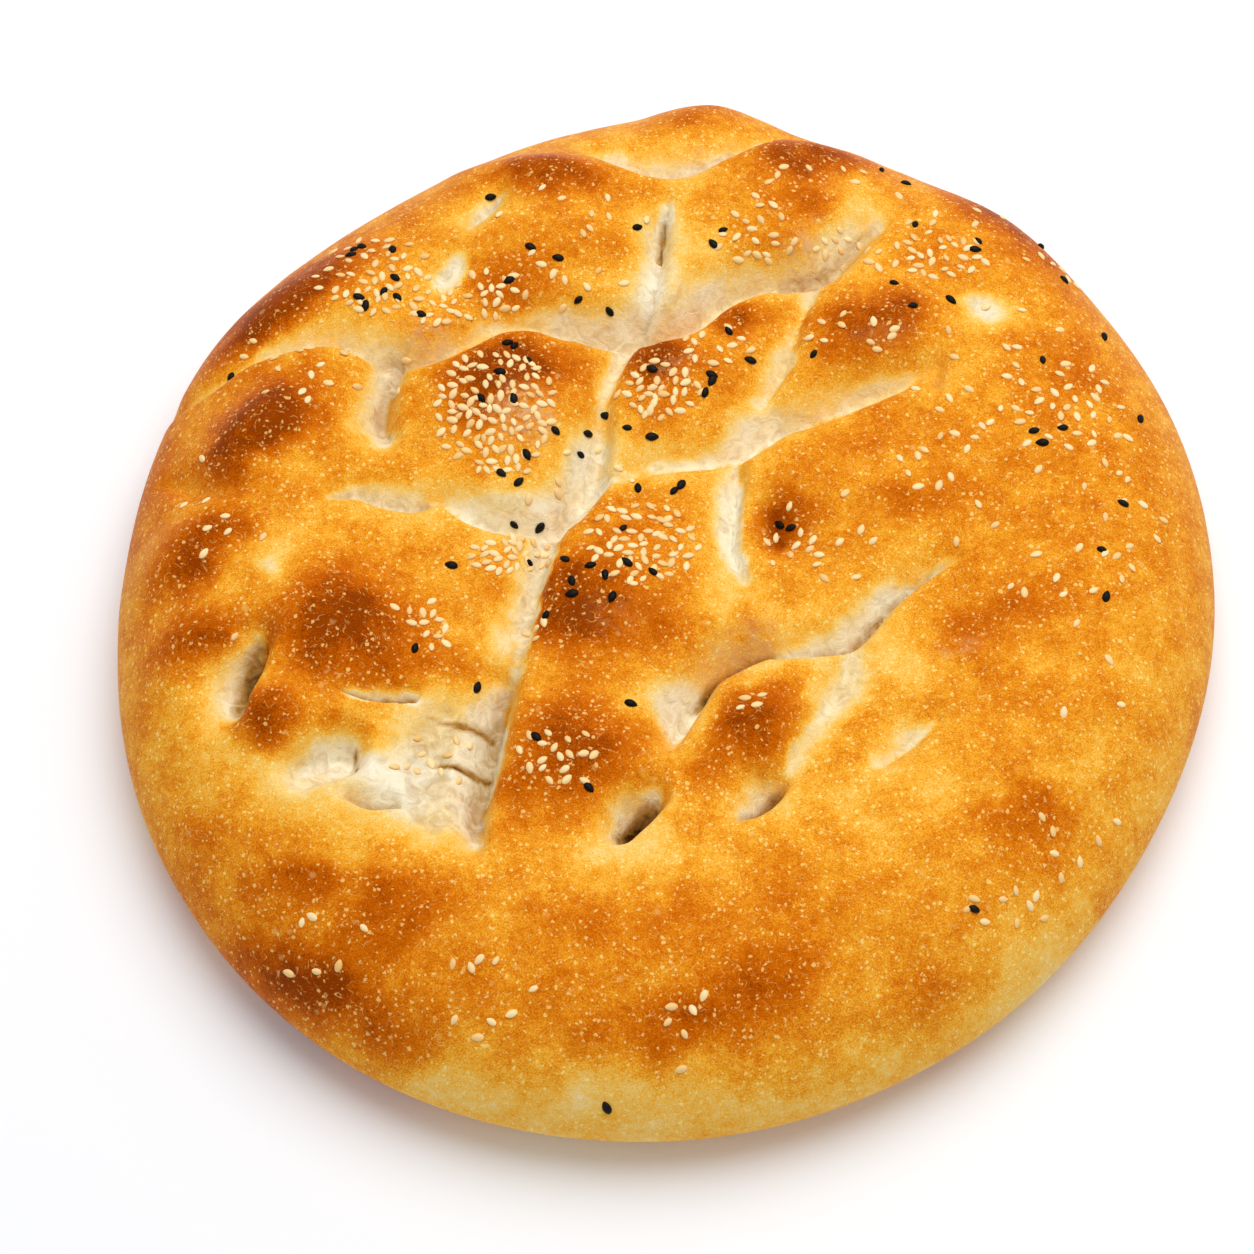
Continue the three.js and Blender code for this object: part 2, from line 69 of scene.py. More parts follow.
# Creases and holes pressed by the fingers: depth, reach of the wall left and right of the path,
# half-width of the floor, how pale the stretched dough stayed, how much shade is painted into the
# fold, and the path with a share of the size at each point
CREASES = {
    "long_far_end": (6, 4, 12, 0, 1.0, 0.2, [
        (1, 114, 0.4), (0, 106, 0.8), (-1, 96, 0.9), (-3, 84, 0.8), (-6, 73, 1)]),
    "long_middle": (10, 5, 13, 1, 0.8, 0.05, [
        (-7, 74, 1), (-13, 62, 0.7), (-17, 50, 0.5), (-18, 38, 0.7), (-20, 26, 1), (-28, 12, 1)]),
    "long_near_half": (9, 4, 15, 1, 0.9, 0.2, [
        (-27, 14, 1), (-33, -1, 0.9), (-36, -14, 0.8), (-38, -25, 0.7)]),
    "long_near_gap": (7, 5, 12, 1, 0.9, 0.3, [(-38, -24, 0.6), (-40, -34, 0.5), (-42, -43, 0.6)]),
    "long_near_end": (12, 4, 17, 1, 1.0, 0.4, [
        (-42, -42, 0.7), (-45, -54, 1.2), (-47, -67, 1.2), (-49, -78, 1), (-49, -88, 0.5)]),
    "far_left_cross": (7, 14, 5, 0, 0.65, 0.1, [
        (-142, 54, 0.3), (-128, 56, 0.4), (-117, 62, 0.5), (-103, 66, 0.8), (-93, 67, 1), (-84, 63, 1.1),
        (-74, 60, 1)]),
    "behind_seeded_block": (10, 12, 5, 1, 0.6, 0.1, [
        (-79, 60, 1), (-68, 61, 0.9), (-58, 65, 0.6), (-48, 72, 0.6), (-38, 74, 0.8), (-28, 72, 1)]),
    "cross_middle": (10, 14, 5, 1, 0.9, 0.1, [(-28, 73, 0.9), (-18, 70, 1.2), (-7, 70, 1.2)]),
    "cross_right": (10, 13, 5, 1, 0.7, 0.1, [
        (-7, 70, 1.2), (6, 74, 1.1), (16, 83, 1), (28, 88, 0.9), (38, 88, 0.8)]),
    "cross_right_end": (8, 13, 6, 1, 0.7, 0.3, [(34, 88, 1), (44, 90, 1.1), (53, 98, 1), (62, 109, 0.6)]),
    "under_far_rim": (8, 11, 5, 1, 0.88, 0.15, [
        (-20, 135, 0.4), (-10, 130, 0.9), (2, 127, 0.9), (14, 131, 0.6), (27, 138, 0.6), (38, 146, 0.3)]),
    "left_of_seeded_block": (9, 4, 13, 1, 0.9, 0.35, [
        (-74, 62, 0.9), (-77, 50, 1), (-78, 42, 1.2), (-77, 37, 0.8)]),
    "between_right_blocks": (6, 5, 12, 0, 0.65, 0.05, [
        (44, 89, 0.7), (38, 74, 0.7), (33, 60, 1), (27, 48, 0.8)]),
    "right_cross": (8, 5, 13, 1, 0.68, 0.05, [
        (76, 58, 0.4), (65, 53, 0.6), (52, 48, 0.8), (42, 44, 0.9), (32, 41, 1)]),
    "right_cross_inner": (8, 5, 14, 1, 0.9, 0.05, [
        (32, 41, 1), (25, 36, 1.1), (18, 31, 0.9), (7, 29, 0.55), (-4, 27, 0.4), (-14, 24, 0.3)]),
    "left_pocket": (6, 11, 4, 0, 0.8, 0.2, [
        (-92, 15, 0.4), (-84, 16, 0.8), (-76, 14, 1), (-68, 14, 1), (-62, 16, 0.5)]),
    "crescent": (9, 13, 4, 1, 1.0, 0.05, [
        (-62, 17, 0.4), (-52, 11, 0.9), (-40, 8, 1.1), (-28, 10, 1.2), (-19, 22, 1)]),
    "between_middle_blocks": (6, 4, 12, 0, 0.9, 0.1, [
        (19, 33, 0.8), (20, 24, 1), (19, 15, 1), (18, 8, 1), (18, 0, 0.8), (21, -9, 0.4)]),
    "deep_pocket": (11, 13, 4, 1, 1.0, 0.1, [(1, -58, 0.6), (5, -49, 1.1), (9, -43, 1)]),
    "deep_pocket_fold": (12, 13, 4, 0, 0.5, 0.9, [
        (8, -44, 0.7), (13, -38, 1.1), (21, -33, 1.2), (29, -31, 0.5)]),
    "near_cross": (9, 13, 4, 0, 1.0, 0.55, [
        (30, -32, 0.7), (38, -31, 0.8), (48, -29, 1.1), (54, -23, 1.1), (60, -16, 0.9), (68, -10, 0.6),
        (77, -4, 0.3)]),
    "beside_round_block": (5, 14, 9, 0, 0.6, 0.05, [
        (49, -32, 0.6), (46, -40, 1), (42, -48, 0.9), (36, -57, 0.8), (31, -68, 0.7)]),
    "shallow_right": (5, 15, 6, 0, 0.7, 0.05, [(56, -66, 0.7), (62, -61, 0.9), (70, -54, 0.4)]),
    "left_edge": (4, 12, 6, 1, 0.15, 0.1, [(-138, 25, 0.5), (-128, 19, 1), (-118, 17, 0.5)]),
    "broad_near_valley": (6, 22, 20, 3, 0.5, 0.18, [(-60, -52, 0.8), (-63, -66, 1.1), (-61, -80, 0.7)]),
    "far_valley_fold": (3, 10, 3, 0, 0.8, 0.75, [(-64, -50, 0.3), (-56, -53, 1), (-46, -53, 1.2)]),
    "near_valley_fold": (4, 9, 3, 0, 0.8, 0.85, [(-64, -64, 0.3), (-56, -65, 1), (-47, -65, 1.3)]),
    "last_valley_fold": (2, 8, 4, 0, 0.8, 0.3, [(-62, -71, 0.4), (-52, -73, 1)]),
    "far_left_hole": (6, 10, 8, 0, 1.0, 0.2, [(-48, 119, 0.7), (-52, 114, 1), (-57, 109, 0.9)]),
    "second_far_left_hole": (5, 12, 10, 0, 0.9, 0.1, [(-61, 92, 0.8), (-64, 88, 0.9)]),
    "far_right_hollow": (4, 15, 15, 0, 0.9, 0.0, [(88, 80, 0.7), (91, 77, 0.7)]),
    "right_slit": (4, 3, 5, 0.5, 0.9, 0.2, [(77, 59, 0.8), (75, 52, 1)]),
    "far_slit": (8, 3, 10, 0, 1.0, 0.75, [(1, 112, 0.3), (0, 106, 0.9), (-1, 97, 1)]),
    "seeded_hollow": (5, 15, 10, 0, 0.0, 0.35, [(28, 12, 1), (30, 3, 1)]),
    "deep_near_hole": (13, 3, 12, 1.5, 1.0, 1.0, [(-4, -77, 0.75), (-7, -80, 1.1), (-11, -85, 0.8)]),
    "near_right_hole": (10, 3, 12, 0.5, 1.0, 0.7, [
        (29, -73, 0.7), (27, -75, 1.1), (23, -79, 0.9), (19, -81, 0.5)]),
    "left_upper_hole": (9, 7, 10, 3, 0.85, 0.12, [(-85, -64, 1.1), (-95, -69, 0.7)]),
    "left_lower_hole": (8, 10, 3, 0, 1.0, 0.6, [(-83, -77, 0.6), (-77, -79, 1), (-71, -78, 1.2)]),
    "left_rim_hole": (11, 4, 19, 1.5, 0.9, 0.8, [
        (-108, -33, 0.7), (-110, -38, 1), (-112, -43, 1.1), (-113, -49, 0.7)]),
    "left_upper_nook": (2, 3, 3, 0, 1.0, 1.0, [(-82, -60, 0.5), (-81, -65, 1), (-83, -70, 0.5)]),
    "left_slit": (6, 8, 3, 0, 0.9, 0.8, [(-86, -46, 0.5), (-77, -47, 1), (-67, -46, 1)]),
}
PATH_STEPS = 4

# The deeper of two creases counts more, by this power
CREASE_BLEND = 4

# The relief has its full height where the skin faces up by at least this share
RELIEF_LEAN = 0.4

# Lip of a crease, in millimetres: a share of the wall's reach less an inset, but not narrower than the
# least. The dough is pale over the lip, fades out at so many times its width, and is less pale where
# the crease has less than a full share of its size
PALE_SHARE = 0.62
PALE_INSET = 3.4
PALE_LEAST = 0.5
PALE_FADE = 2.1
PALE_FULL = 0.7

# How far the lips wander, and the sizes of that wandering, coarse and fine, in millimetres
LIP_STRAY = 3
LIP_SWELLS = (13, 5)

# The shade painted deep in a fold is level for a share of the wall's reach, then fades over another
SHADE_LEVEL = 0.02
SHADE_FADE = 0.22

# How far from a crease the crust is paler, in millimetres, by how much, and how fast browning hides it
HALO_REACH = 8
HALO = 0.17
HALO_HIDDEN = 2.5

# Puffed blocks: middle, reach along and across, turn in degrees, rise
BLOCKS = [
    ((-46, 50), (24, 18), 0, 6), ((2, 57), (18, 15), 30, 5), ((58, 70), (17, 12), 10, 6),
    ((-32, 105), (24, 20), 0, 4), ((-36, 127), (22, 8), -8, 4), ((34, 115), (21, 18), 0, 4),
    ((38, 133), (20, 8), 5, 4), ((14, 152), (17, 12), 0, 6), ((-104, 82), (24, 12), 35, 5),
    ((-112, 37), (16, 10), 50, 6), ((-132, 0), (16, 10), 50, 4), ((-92, -24), (17, 20), -10, 6),
    ((-14, -10), (22, 24), 0, 6), ((-26, -62), (17, 17), 0, 6), ((25, -55), (14, 13), 0, 6),
    ((-104, -52), (10, 8), 0, 5), ((50, 20), (26, 18), 0, 4), ((96, 112), (26, 16), -45, 4),
    ((-128, -30), (16, 12), 60, 3),
]

# Fine relief of the top, in millimetres: size of the soft waves, width and length of the wrinkles in
# stretched dough, and the height from which both grow to their full height
WAVE = 14
WRINKLE_WIDE = 2.5
WRINKLE_LONG = 5
WAVES_FROM = 20
WAVES_OVER = 12

# How far the crust baked, from 0 for raw dough to 1 for scorched: the plain crust, what a millimetre of
# rise adds and for which rises, what a soft wave adds, stretched dough, and the base
BAKE_PLAIN = 0.53
BAKE_PER_RISE = 0.012
BAKE_RISES = (-4, 6)
BAKE_PER_WAVE = 0.065
BAKE_STRETCHED = 0.03
BAKE_BASE = (0.4, 0.62)

# Browned patches: middle, reach along and across, turn in degrees, how far browned
BROWNED = [
    # Far rim
    ((-35, 125), (18, 8), -8, 0.36), ((42, 132), (18, 8), 8, 0.42), ((10, 150), (14, 7), 0, 0.1),
    ((-112, 79), (24, 9), 33, 0.5), ((-92, 96), (10, 7), 20, 0.14), ((-100, 88), (16, 8), 30, 0.08),
    ((-76, 112), (36, 12), 33, 0.06), ((100, 113), (22, 9), -45, 0.34),
    # Far blocks
    ((-46, 86), (14, 8), 0, 0.25), ((40, 114), (9, 9), 0, 0.2), ((-45, 58), (15, 9), 5, 0.58),
    ((-52, 44), (9, 10), 0, 0.3), ((-72, 46), (5, 9), 0, 0.15), ((-2, 61), (11, 9), 30, 0.45),
    ((2, 50), (12, 10), 0, 0.08), ((20, 76), (11, 6), 10, 0.4), ((57, 71), (16, 10), 10, 0.4),
    ((76, 93), (10, 7), 0, 0.14),
    # Left side
    ((-146, 36), (10, 26), 0, 0.12), ((-124, 50), (58, 14), 64, 0.09), ((-112, 36), (20, 10), 50, 0.55),
    ((-126, -3), (15, 9), 45, 0.48), ((-124, -31), (14, 9), 10, 0.42), ((-125, -85), (8, 11), 20, 0.12),
    # Middle blocks
    ((-87, -28), (18, 17), -10, 0.46), ((-63, -39), (12, 7), 0, 0.18), ((-27, -18), (14, 16), -15, 0.45),
    ((-8, -22), (12, 12), 0, 0.15), ((14, -30), (8, 7), 30, 0.1), ((-15, 10), (14, 8), 0, 0.15),
    ((2, -30), (8, 6), 0, 0.15), ((32, 9), (8, 9), 0, 0.38), ((56, 38), (14, 6), 25, 0.14),
    ((66, 12), (9, 6), 0, 0.15),
    # Near blocks
    ((-104, -55), (7.5, 7), 0, 0.44), ((-84, -58), (9, 4), -15, 0.28), ((-41, -80), (8, 10), 0, 0.22),
    ((-27, -64), (17, 15), 0, 0.4), ((8, -70), (10, 6), 0, 0.14), ((22, -53), (15, 14), -15, 0.36),
    # Right side
    ((112, 58), (14, 10), 0, 0.15), ((112, 30), (34, 34), 0, 0.06), ((88, 22), (11, 7), 0, 0.08),
    ((78, -26), (10, 8), 30, 0.22), ((97, -19), (12, 7), 0, 0.2), ((96, -30), (48, 40), 0, 0.04),
    ((87, -48), (10, 7), 0, 0.1), ((92, -83), (16, 12), 20, 0.29),
    # Near side
    ((-94, -122), (24, 8), -22, 0.45), ((-72, -138), (12, 5), -20, 0.25), ((-96, -99), (14, 6), -10, 0.28),
    ((-72, -113), (14, 9), -10, 0.24), ((-63, -104), (12, 9), 0, 0.12), ((-86, -110), (40, 24), -30, 0.06),
    ((-30, -131), (16, 9), 0, 0.1), ((-15, -113), (20, 11), 0, 0.15), ((-22, -143), (20, 8), 0, 0.12),
    ((10, -113), (9, 8), 0, 0.12), ((4, -139), (18, 9), 0, 0.28), ((30, -108), (14, 8), -40, 0.14),
    ((23, -128), (17, 9), 20, 0.32), ((66, -128), (14, 8), 20, 0.15),
]

# How much of that counts, and how sharply a patch ends
BROWNING = 0.9
BROWNED_EDGE = 1.3

# Thin skin stretched over steam, and painted sheen in part of it, greyish pink and mottled, in the same
# terms
SHEEN = [
    ((-69, 68), (11, 6), 10, 0.5), ((40, 94), (6, 10), -10, 0.8), ((-39, 41), (7, 9), 20, 0.8),
    ((4, 58), (5, 3), 30, 0.4), ((-14, -22), (7, 5), 0, 0.1), ((60, 66), (8, 4), 10, 0.1),
    ((21, -29), (10, 6), 35, 0.55), ((12, 132), (10, 5), 30, 0.5), ((76, -32), (6, 2.5), 10, 0.4),
]
SHEEN_EDGE = 1.5

# Pale patches away from the creases, in the same terms
PALE = [
    # Far side
    ((-50, 132), (10, 4), 15, 0.12), ((12, 136), (24, 8), 0, 0.06), ((-53, 113), (5, 8), -30, 0.2),
    ((-62, 90), (5, 6), 0, 0.15), ((-62, 64), (7, 4), 20, 0.2), ((-5, 98), (7, 12), 0, 0.16),
    ((6, 100), (10, 14), 0, 0.14), ((-2, 84), (16, 8), 0, 0.22), ((54, 108), (6, 15), -25, 0.2),
    ((91, 77), (5, 4), 0, 0.25), ((80, 72), (8, 5), 0, 0.12),
    # Middle
    ((-22, 30), (6, 8), 0, 0.2), ((-12, 30), (20, 12), 0, 0.1), ((-60, 18), (10, 5), 0, 0.1),
    ((-38, 17), (14, 4), -5, 0.3), ((-43, -28), (5, 8), 10, 0.3), ((17, 8), (4, 13), 0, 0.2),
    ((15, -13), (8, 7), 0, 0.14), ((13, -19), (7, 6), 0, 0.14), ((42, -17), (14, 6), 25, 0.12),
    ((-98, 2), (10, 5), 30, 0.1), ((-108, -8), (12, 8), 0, 0.12), ((-107, -9), (4, 2.5), -10, 0.3),
    # Beside the near blocks
    ((0, -44), (8, 10), 0, 0.2), ((11, -52), (4, 9), -25, 0.18), ((26, -37), (13, 4), 20, 0.25),
    ((38, -50), (6, 12), -15, 0.2), ((62, -36), (18, 10), 30, 0.18), ((-118, -48), (8, 8), 0, 0.1),
    ((-116, -66), (22, 12), 0, 0.1), ((-97, -75), (10, 6), -30, 0.12), ((-71, -69), (23, 13), 0, 0.36),
    ((-60, -88), (24, 8), 0, 0.1), ((-8, -92), (12, 5), 0, 0.1), ((-14, -96), (22, 10), 0, 0.1),
    ((58, -76), (26, 14), 0, 0.1),
    # Near and right rim
    ((-28, -156), (58, 13), 0, 0.24), ((62, -146), (34, 10), 22, 0.2), ((92, -122), (20, 12), 45, 0.18),
    ((104, -112), (16, 12), 50, 0.12), ((120, -62), (24, 44), -20, 0.09),
]

# How far the edges of all these patches wander, and the sizes of that wandering, in millimetres
PATCH_STRAY = 4
PATCH_SWELLS = (16, 6)

# Layers of the noise, a coarse and a fine one for each use
LIP_LAYERS = (0, 3)
PATCH_LAYERS_X = (7, 9)
PATCH_LAYERS_Y = (11, 13)

# Crust this pale looks stretched, and fully so when paler by the second number
STRETCHED_BELOW = 0.34
STRETCHED_OVER = 0.2

# Patterns of the crust: size in millimetres, detail, roughness. Its real grain is finer than a pixel,
# so it is drawn as coarse as it needs to show
BLOTCH = (9.09, 3, 0.6)
MOTTLE = (2.083, 2, 0.6)
GRAIN = (0.4348, 1, 0.5)

# How far each of them moves the bake, the middle of all three, and the bake from which they show,
# as a gain and a start
BLOTCH_DEPTH = 0.42
MOTTLE_DEPTH = 0.25
GRAIN_DEPTH = 0.5
DEPTH_MIDDLE = 0.59
SHOWN_GAIN = 2.2
SHOWN_START = 0.1

# Dry specks and blisters: spacing in millimetres, greatest radius and softness as shares of it. A noise
# of the next size shakes them out of their rows, by so many millimetres
SPECKS = (1.5625, 0.46, 0.12)
BLISTERS = (5.88, 0.24, 0.1)
BLISTER_LIGHT = 0.4
SHAKE_SIZE = 1.111
SHAKE = 1.2

# Dashes between them: size of the noise whose level lines they follow and of the one that breaks the
# lines, each with the gain and start of its mask
DASH_LINES = (2.083, -22.0, 0.8)
DASH_BREAKS = (1.613, 9.0, -4.9)

# Mottling of the thin skin over steam and of the painted sheen: size, gain and start
SKIN_AND_SHEEN_MOTTLE = (2.38, 5.0, -2.0)

# Soft wrinkling of stretched dough, which also darkens its colour where the wrinkles sink: its size,
# the gain and start of that darkening, and where the painted shade in a fold lies between none and
# the painted shade of a hole
WRINKLES = 3.846
WRINKLE_SHADE = (-0.85, 0.44)
FOLD_SHADE_STOP = 0.6

# Bump, in millimetres and as shares of the grain
BUMP = 0.3
BUMP_STRENGTH = 0.35
BUMP_WRINKLES = 5.0
BUMP_SPECKS = 0.8

# Camera, as judged from the photo: elevation, distance, and the point it looks at
CAMERA_ELEVATION = 60
CAMERA_DISTANCE = 860
CAMERA_TARGET = Vector((-11.0, -13.5, 20.0))
CAMERA_LENS = 90
CAMERA_NEAREST = 0.05
SENSOR = 36

# Stage, in metres and watts
FLOOR_REACH = 4
KEY_PLACE = Vector((0.22, 0.45, 1.4))
KEY_AIM = Vector((0, 0, 0.02))
KEY_SIZE = 1.5
KEY_POWER = 17.8
ROOM_LIGHT = 0.51

# Seeds are listed where they are seen over a level plane at this height, and each is then laid on
# the crust along the line of sight
SEEN_LEVEL = 32

# Sesame patches: middle, reach in X and Y, count
SESAME_PATCHES = [
    ((-48, 50), (17, 21), 108), ((-42, 2), (12, 6), 32), ((-7, 6), (16, 13), 60), ((-2, 57), (12, 10), 34),
    ((16, 72), (12, 8), 12), ((-52, 90), (13, 9), 22), ((-84, 97), (17, 14), 50), ((-66, 86), (8, 7), 12),
    ((-29, -60), (11, 10), 18), ((20, -43), (7, 3), 4), ((-61, -23), (5, 5), 6), ((-66, -16), (12, 4), 7),
    ((-62, -61), (12, 8), 11), ((34, 3), (8, 8), 10), ((26, 112), (12, 14), 20), ((76, 104), (18, 8), 32),
    ((50, 108), (10, 8), 8), ((116, 48), (15, 10), 18), ((114, 100), (10, 8), 10), ((-36, -22), (3, 7), 4),
    ((88, -104), (13, 6), 9), ((-44, -128), (16, 14), 9), ((2, -136), (16, 14), 6),
    ((100, 20), (30, 30), 18), ((-122, 0), (14, 44), 9), ((-110, 60), (18, 16), 10),
    ((-30, 118), (28, 14), 10), ((54, 76), (16, 9), 10), ((-98, -110), (20, 16), 6),
    ((45, 10), (14, 18), 7), ((104, -82), (16, 16), 7), ((96, 62), (30, 24), 26), ((112, -20), (20, 30), 9),
    ((130, 20), (10, 24), 8), ((70, 36), (22, 18), 9), ((92, 120), (28, 10), 14), ((34, 132), (26, 8), 8),
    ((-88, 62), (26, 14), 7), ((-34, 30), (30, 10), 8), ((-30, 92), (24, 10), 8),
]

# Seeds thin out from the middle of a patch by this power. They keep a gap, in millimetres, which
# shrinks with each try
PATCH_CROWDING = 0.6
SEED_GAP = 2.7
GAP_SHRINK = 0.96

# Nigella seeds, one by one
NIGELLA_SPOTS = [
    (-8, 114), (-39, 107), (-31, 103), (-45, 95), (-25, 88), (-16, 84), (17, 113), (14, 108), (-51, 125),
    (-88, 107), (-90, 106), (-91, 104), (-79, 106), (-78, 96), (-81, 91), (-77, 89), (-88, 89), (-86, 86),
    (-70, 83), (-123, 61), (-45, 73), (-43, 72), (-39, 67), (-47, 63), (-52, 54), (-43, 54), (-31, 43),
    (-17, 48), (-22, 42), (-24, 35), (-39, 35), (-46, 29), (-41, 26), (-4, 64), (18, 77), (24, 67),
    (13, 62), (13, 60), (11, 56), (-11, 44), (-4, 41), (42, 69), (4, 25), (2, 23), (-8, 24), (-42, 12),
    (-35, 11), (-38, 0), (-28, 1), (-21, -1), (-17, -4), (-26, -6), (-26, -10), (-15, -11), (-11, 0),
    (-4, -3), (-12, 11), (-33, -17), (31, 12), (34, 11), (-59, -1), (-68, -27), (-51, -39), (-10, -44),
    (-35, -54), (-21, -69), (64, 135), (71, 130), (73, 115), (91, 109), (90, 106), (109, 107), (116, 103),
    (118, 101), (119, 98), (120, 96), (115, 95), (125, 91), (66, 94), (82, 88), (71, 86), (125, 75),
    (107, 67), (133, 47), (111, 44), (103, 43), (105, 39), (126, 19), (119, 4), (119, -11), (-16, -158),
    (78, -104),
]
SEED_DRAWS = 4127

# A seed's width and thickness as shares of its length, its sides and rings, and its shine
SESAME = (0.63, 0.32, 8, 8, 0.3)
NIGELLA = (0.64, 0.5, 7, 8, 0.12)

# A seed narrows to its tip by a share, along this power. Seeds differ in size, in how far they tilt and
# in shade, more of them being light
SEED_POINT = 0.35
SEED_POINT_CURVE = 1.5
SEED_SIZES = (0.82, 1.14)
SEED_TILT = 0.09
SEED_SHADES = 0.7

# Grain of a seed's coat, its size and height in millimetres
SEED_GRAIN = 0.4
SEED_BUMP = 0.1
SEED_BUMP_STRENGTH = 0.4


def smooth(t):
    """A soft step from 0 to 1."""
    t = np.clip(t, 0, 1)
    return t * t * (3 - 2 * t)


def cubic(a, b, c, d, t):
    """The curve from b to c that runs on smoothly from a and to d."""
    bend = (c - a) * t + (2 * a - 5 * b + 4 * c - d) * t**2 + (3 * b - a - 3 * c + d) * t**3
    return b + bend / 2


def curve_through(padded, steps):
    """The smooth line through all points but the first and last, so many steps from each to the next."""
    fine = np.linspace(0, 1, steps, endpoint=False)[:, None]
    return np.vstack([cubic(*padded[i:i + 4], fine) for i in range(len(padded) - 3)] + [padded[-2:-1]])


def half_width(angle):
    """Half-width of the loaf in a direction."""
    sizes = np.array(OUTLINE, float)
    count = len(sizes)
    place = (angle / (2 * math.pi) * count) % count
    i = np.floor(place).astype(int)
    a, b, c, d = (sizes[(i + step) % count] for step in (-1, 0, 1, 2))
    return cubic(a, b, c, d, place - i)


def skin_steps():
    """The cross-section in small steps: distance out and height, lean out and up, share of skin inside."""
    points = np.array(SECTION, float) * (MEAN_HALF_WIDTH, 1)
    rim = curve_through(np.vstack([points[:1], points, points[-1:]]), SECTION_STEPS)
    rim[:, 1] = np.maximum(rim[:, 1], 0)
    run = np.diff(rim, axis=0)
    length = np.hypot(*run.T)
    corners = np.where(rim[1:, 0] < RIM_FROM * MEAN_HALF_WIDTH, 1, RIM_CORNERS)
    skin = np.concatenate([[0], np.cumsum(length * (rim[1:, 0] + rim[:-1, 0]) * corners)])
    lean = np.vstack([[0, 1], np.column_stack([-run[:, 1], run[:, 0]]) / length[:, None]])
    return rim, lean, skin / skin[-1]


def rounded(path):
    """The path as a smooth line of shorter legs through the same points."""
    points = np.array(path, float)
    before, after = 2 * points[0] - points[1], 2 * points[-1] - points[-2]
    return curve_through(np.vstack([before, points, after]), PATH_STEPS)


def nearest_on(path, x, y):
    """How far each point is from the path, on which side of it, and the path's share of size there."""
    near = np.full(x.shape, np.inf)
    side = np.zeros(x.shape)
    share = np.zeros(x.shape)
    for start, leg in zip(path, np.diff(path, axis=0)):
        length = math.hypot(leg[0], leg[1])
        t = np.clip(((x - start[0]) * leg[0] + (y - start[1]) * leg[1]) / length**2, 0, 1)
        dx, dy = x - start[0] - leg[0] * t, y - start[1] - leg[1] * t
        distance = np.maximum(np.hypot(dx, dy), 1e-6)
        closer = distance < near
        near = np.where(closer, distance, near)
        side = np.where(closer, (leg[0] * dy - leg[1] * dx) / (length * distance), side)
        share = np.where(closer, start[2] + leg[2] * t, share)
    return near, side, share


def pressed(mark, x, y, uneven):
    """Depth of one crease at each point, how pale its dough stayed, its painted shade, how near its crust
    is.
    """
    depth, left, right, floor, paleness, painted_shading, path = mark
    near, side, share = nearest_on(rounded(path), x, y)
    reach = (right + (left - right) * (side + 1) / 2) * (1 + share) / 2
    from_floor = np.maximum(0, near - floor)
    wall = np.maximum(0, 1 - from_floor / reach)
    lip = np.maximum(PALE_LEAST, (PALE_SHARE * reach - PALE_INSET) * share)
    past_lip = smooth((from_floor + uneven) / (PALE_FADE * lip))
    pale = paleness * smooth(share / PALE_FULL) * (1 - past_lip)
    # Shade painted deep in the fold, level near its floor and fading up the wall
    painted_shade = painted_shading * np.minimum(share, 1) * (1 - smooth((from_floor / reach - SHADE_LEVEL) / SHADE_FADE))
    halo = paleness * share * np.exp(-((from_floor / HALO_REACH) ** 2))
    return depth * wall**2 * share, pale, painted_shade, halo


def spread_over(middle, reach, turn, x, y, edge):
    """How much of a round or oval patch reaches each point."""
    turn = math.radians(turn)
    dx, dy = x - middle[0], y - middle[1]
    along = (dx * math.cos(turn) + dy * math.sin(turn)) / reach[0]
    across = (dy * math.cos(turn) - dx * math.sin(turn)) / reach[1]
    return np.exp(-((along**2 + across**2) ** edge))


def patched(patches, x, y, edge=1.0):
    """All the patches together at each point, each by its own share."""
    return sum(share * spread_over(middle, reach, turn, x, y, edge)
               for middle, reach, turn, share in patches)


def soft_noise(x, y, size, layer):
    """Smooth noise over the plan, its swells about so many millimetres across."""
    return np.array([noise.noise(Vector((a, b, layer))) for a, b in zip(x / size, y / size)])


def swells(x, y, sizes, layers):
    """Coarse and fine soft noise, the fine one half as strong."""
    coarse, fine = (soft_noise(x, y, size, layer) for size, layer in zip(sizes, layers))
    return coarse + fine / 2


def relief(x, y):
    """Height of the relief over the plain loaf, how pale its dough stayed, its painted shade, how near a
    crease is.
    """
    uneven = LIP_STRAY * swells(x, y, LIP_SWELLS, LIP_LAYERS)
    deep, pale, painted_shade, halo = (np.zeros(x.shape) for _ in range(4))
    for mark in CREASES.values():
        depth, paleness, painted_shading, nearness = pressed(mark, x, y, uneven)
        deep += depth**CREASE_BLEND
        pale = np.maximum(pale, paleness)
        painted_shade = np.maximum(painted_shade, painted_shading)
        halo = np.maximum(halo, nearness)
    return patched(BLOCKS, x, y) - deep ** (1 / CREASE_BLEND), pale, painted_shade, halo


def crust_places(square):
    """Where each corner of a flat square grid goes on the loaf, with what relief says of it."""
    u, v = square.T
    dx, dy = u * np.sqrt(1 - v**2 / 2), v * np.sqrt(1 - u**2 / 2)
    line, lean, skin = skin_steps()
    share = dx**2 + dy**2
    angle = np.arctan2(dy, dx)
    out, z = (np.interp(share, skin, line[:, k]) for k in (0, 1))
    lean_out, lean_up = (np.interp(share, skin, lean[:, k]) for k in (0, 1))
    out = out * half_width(angle) / MEAN_HALF_WIDTH
    x, y = out * np.cos(angle), out * np.sin(angle)
    rise, pale, painted_shade, halo = relief(x, y)
    push = rise * smooth(lean_up / RELIEF_LEAN) * (z > 0)
    push_out = push * lean_out
    x, y, z = x + push_out * np.cos(angle), y + push_out * np.sin(angle), z + push * lean_up
    return np.column_stack([x, y, z]), rise, pale, painted_shade, halo


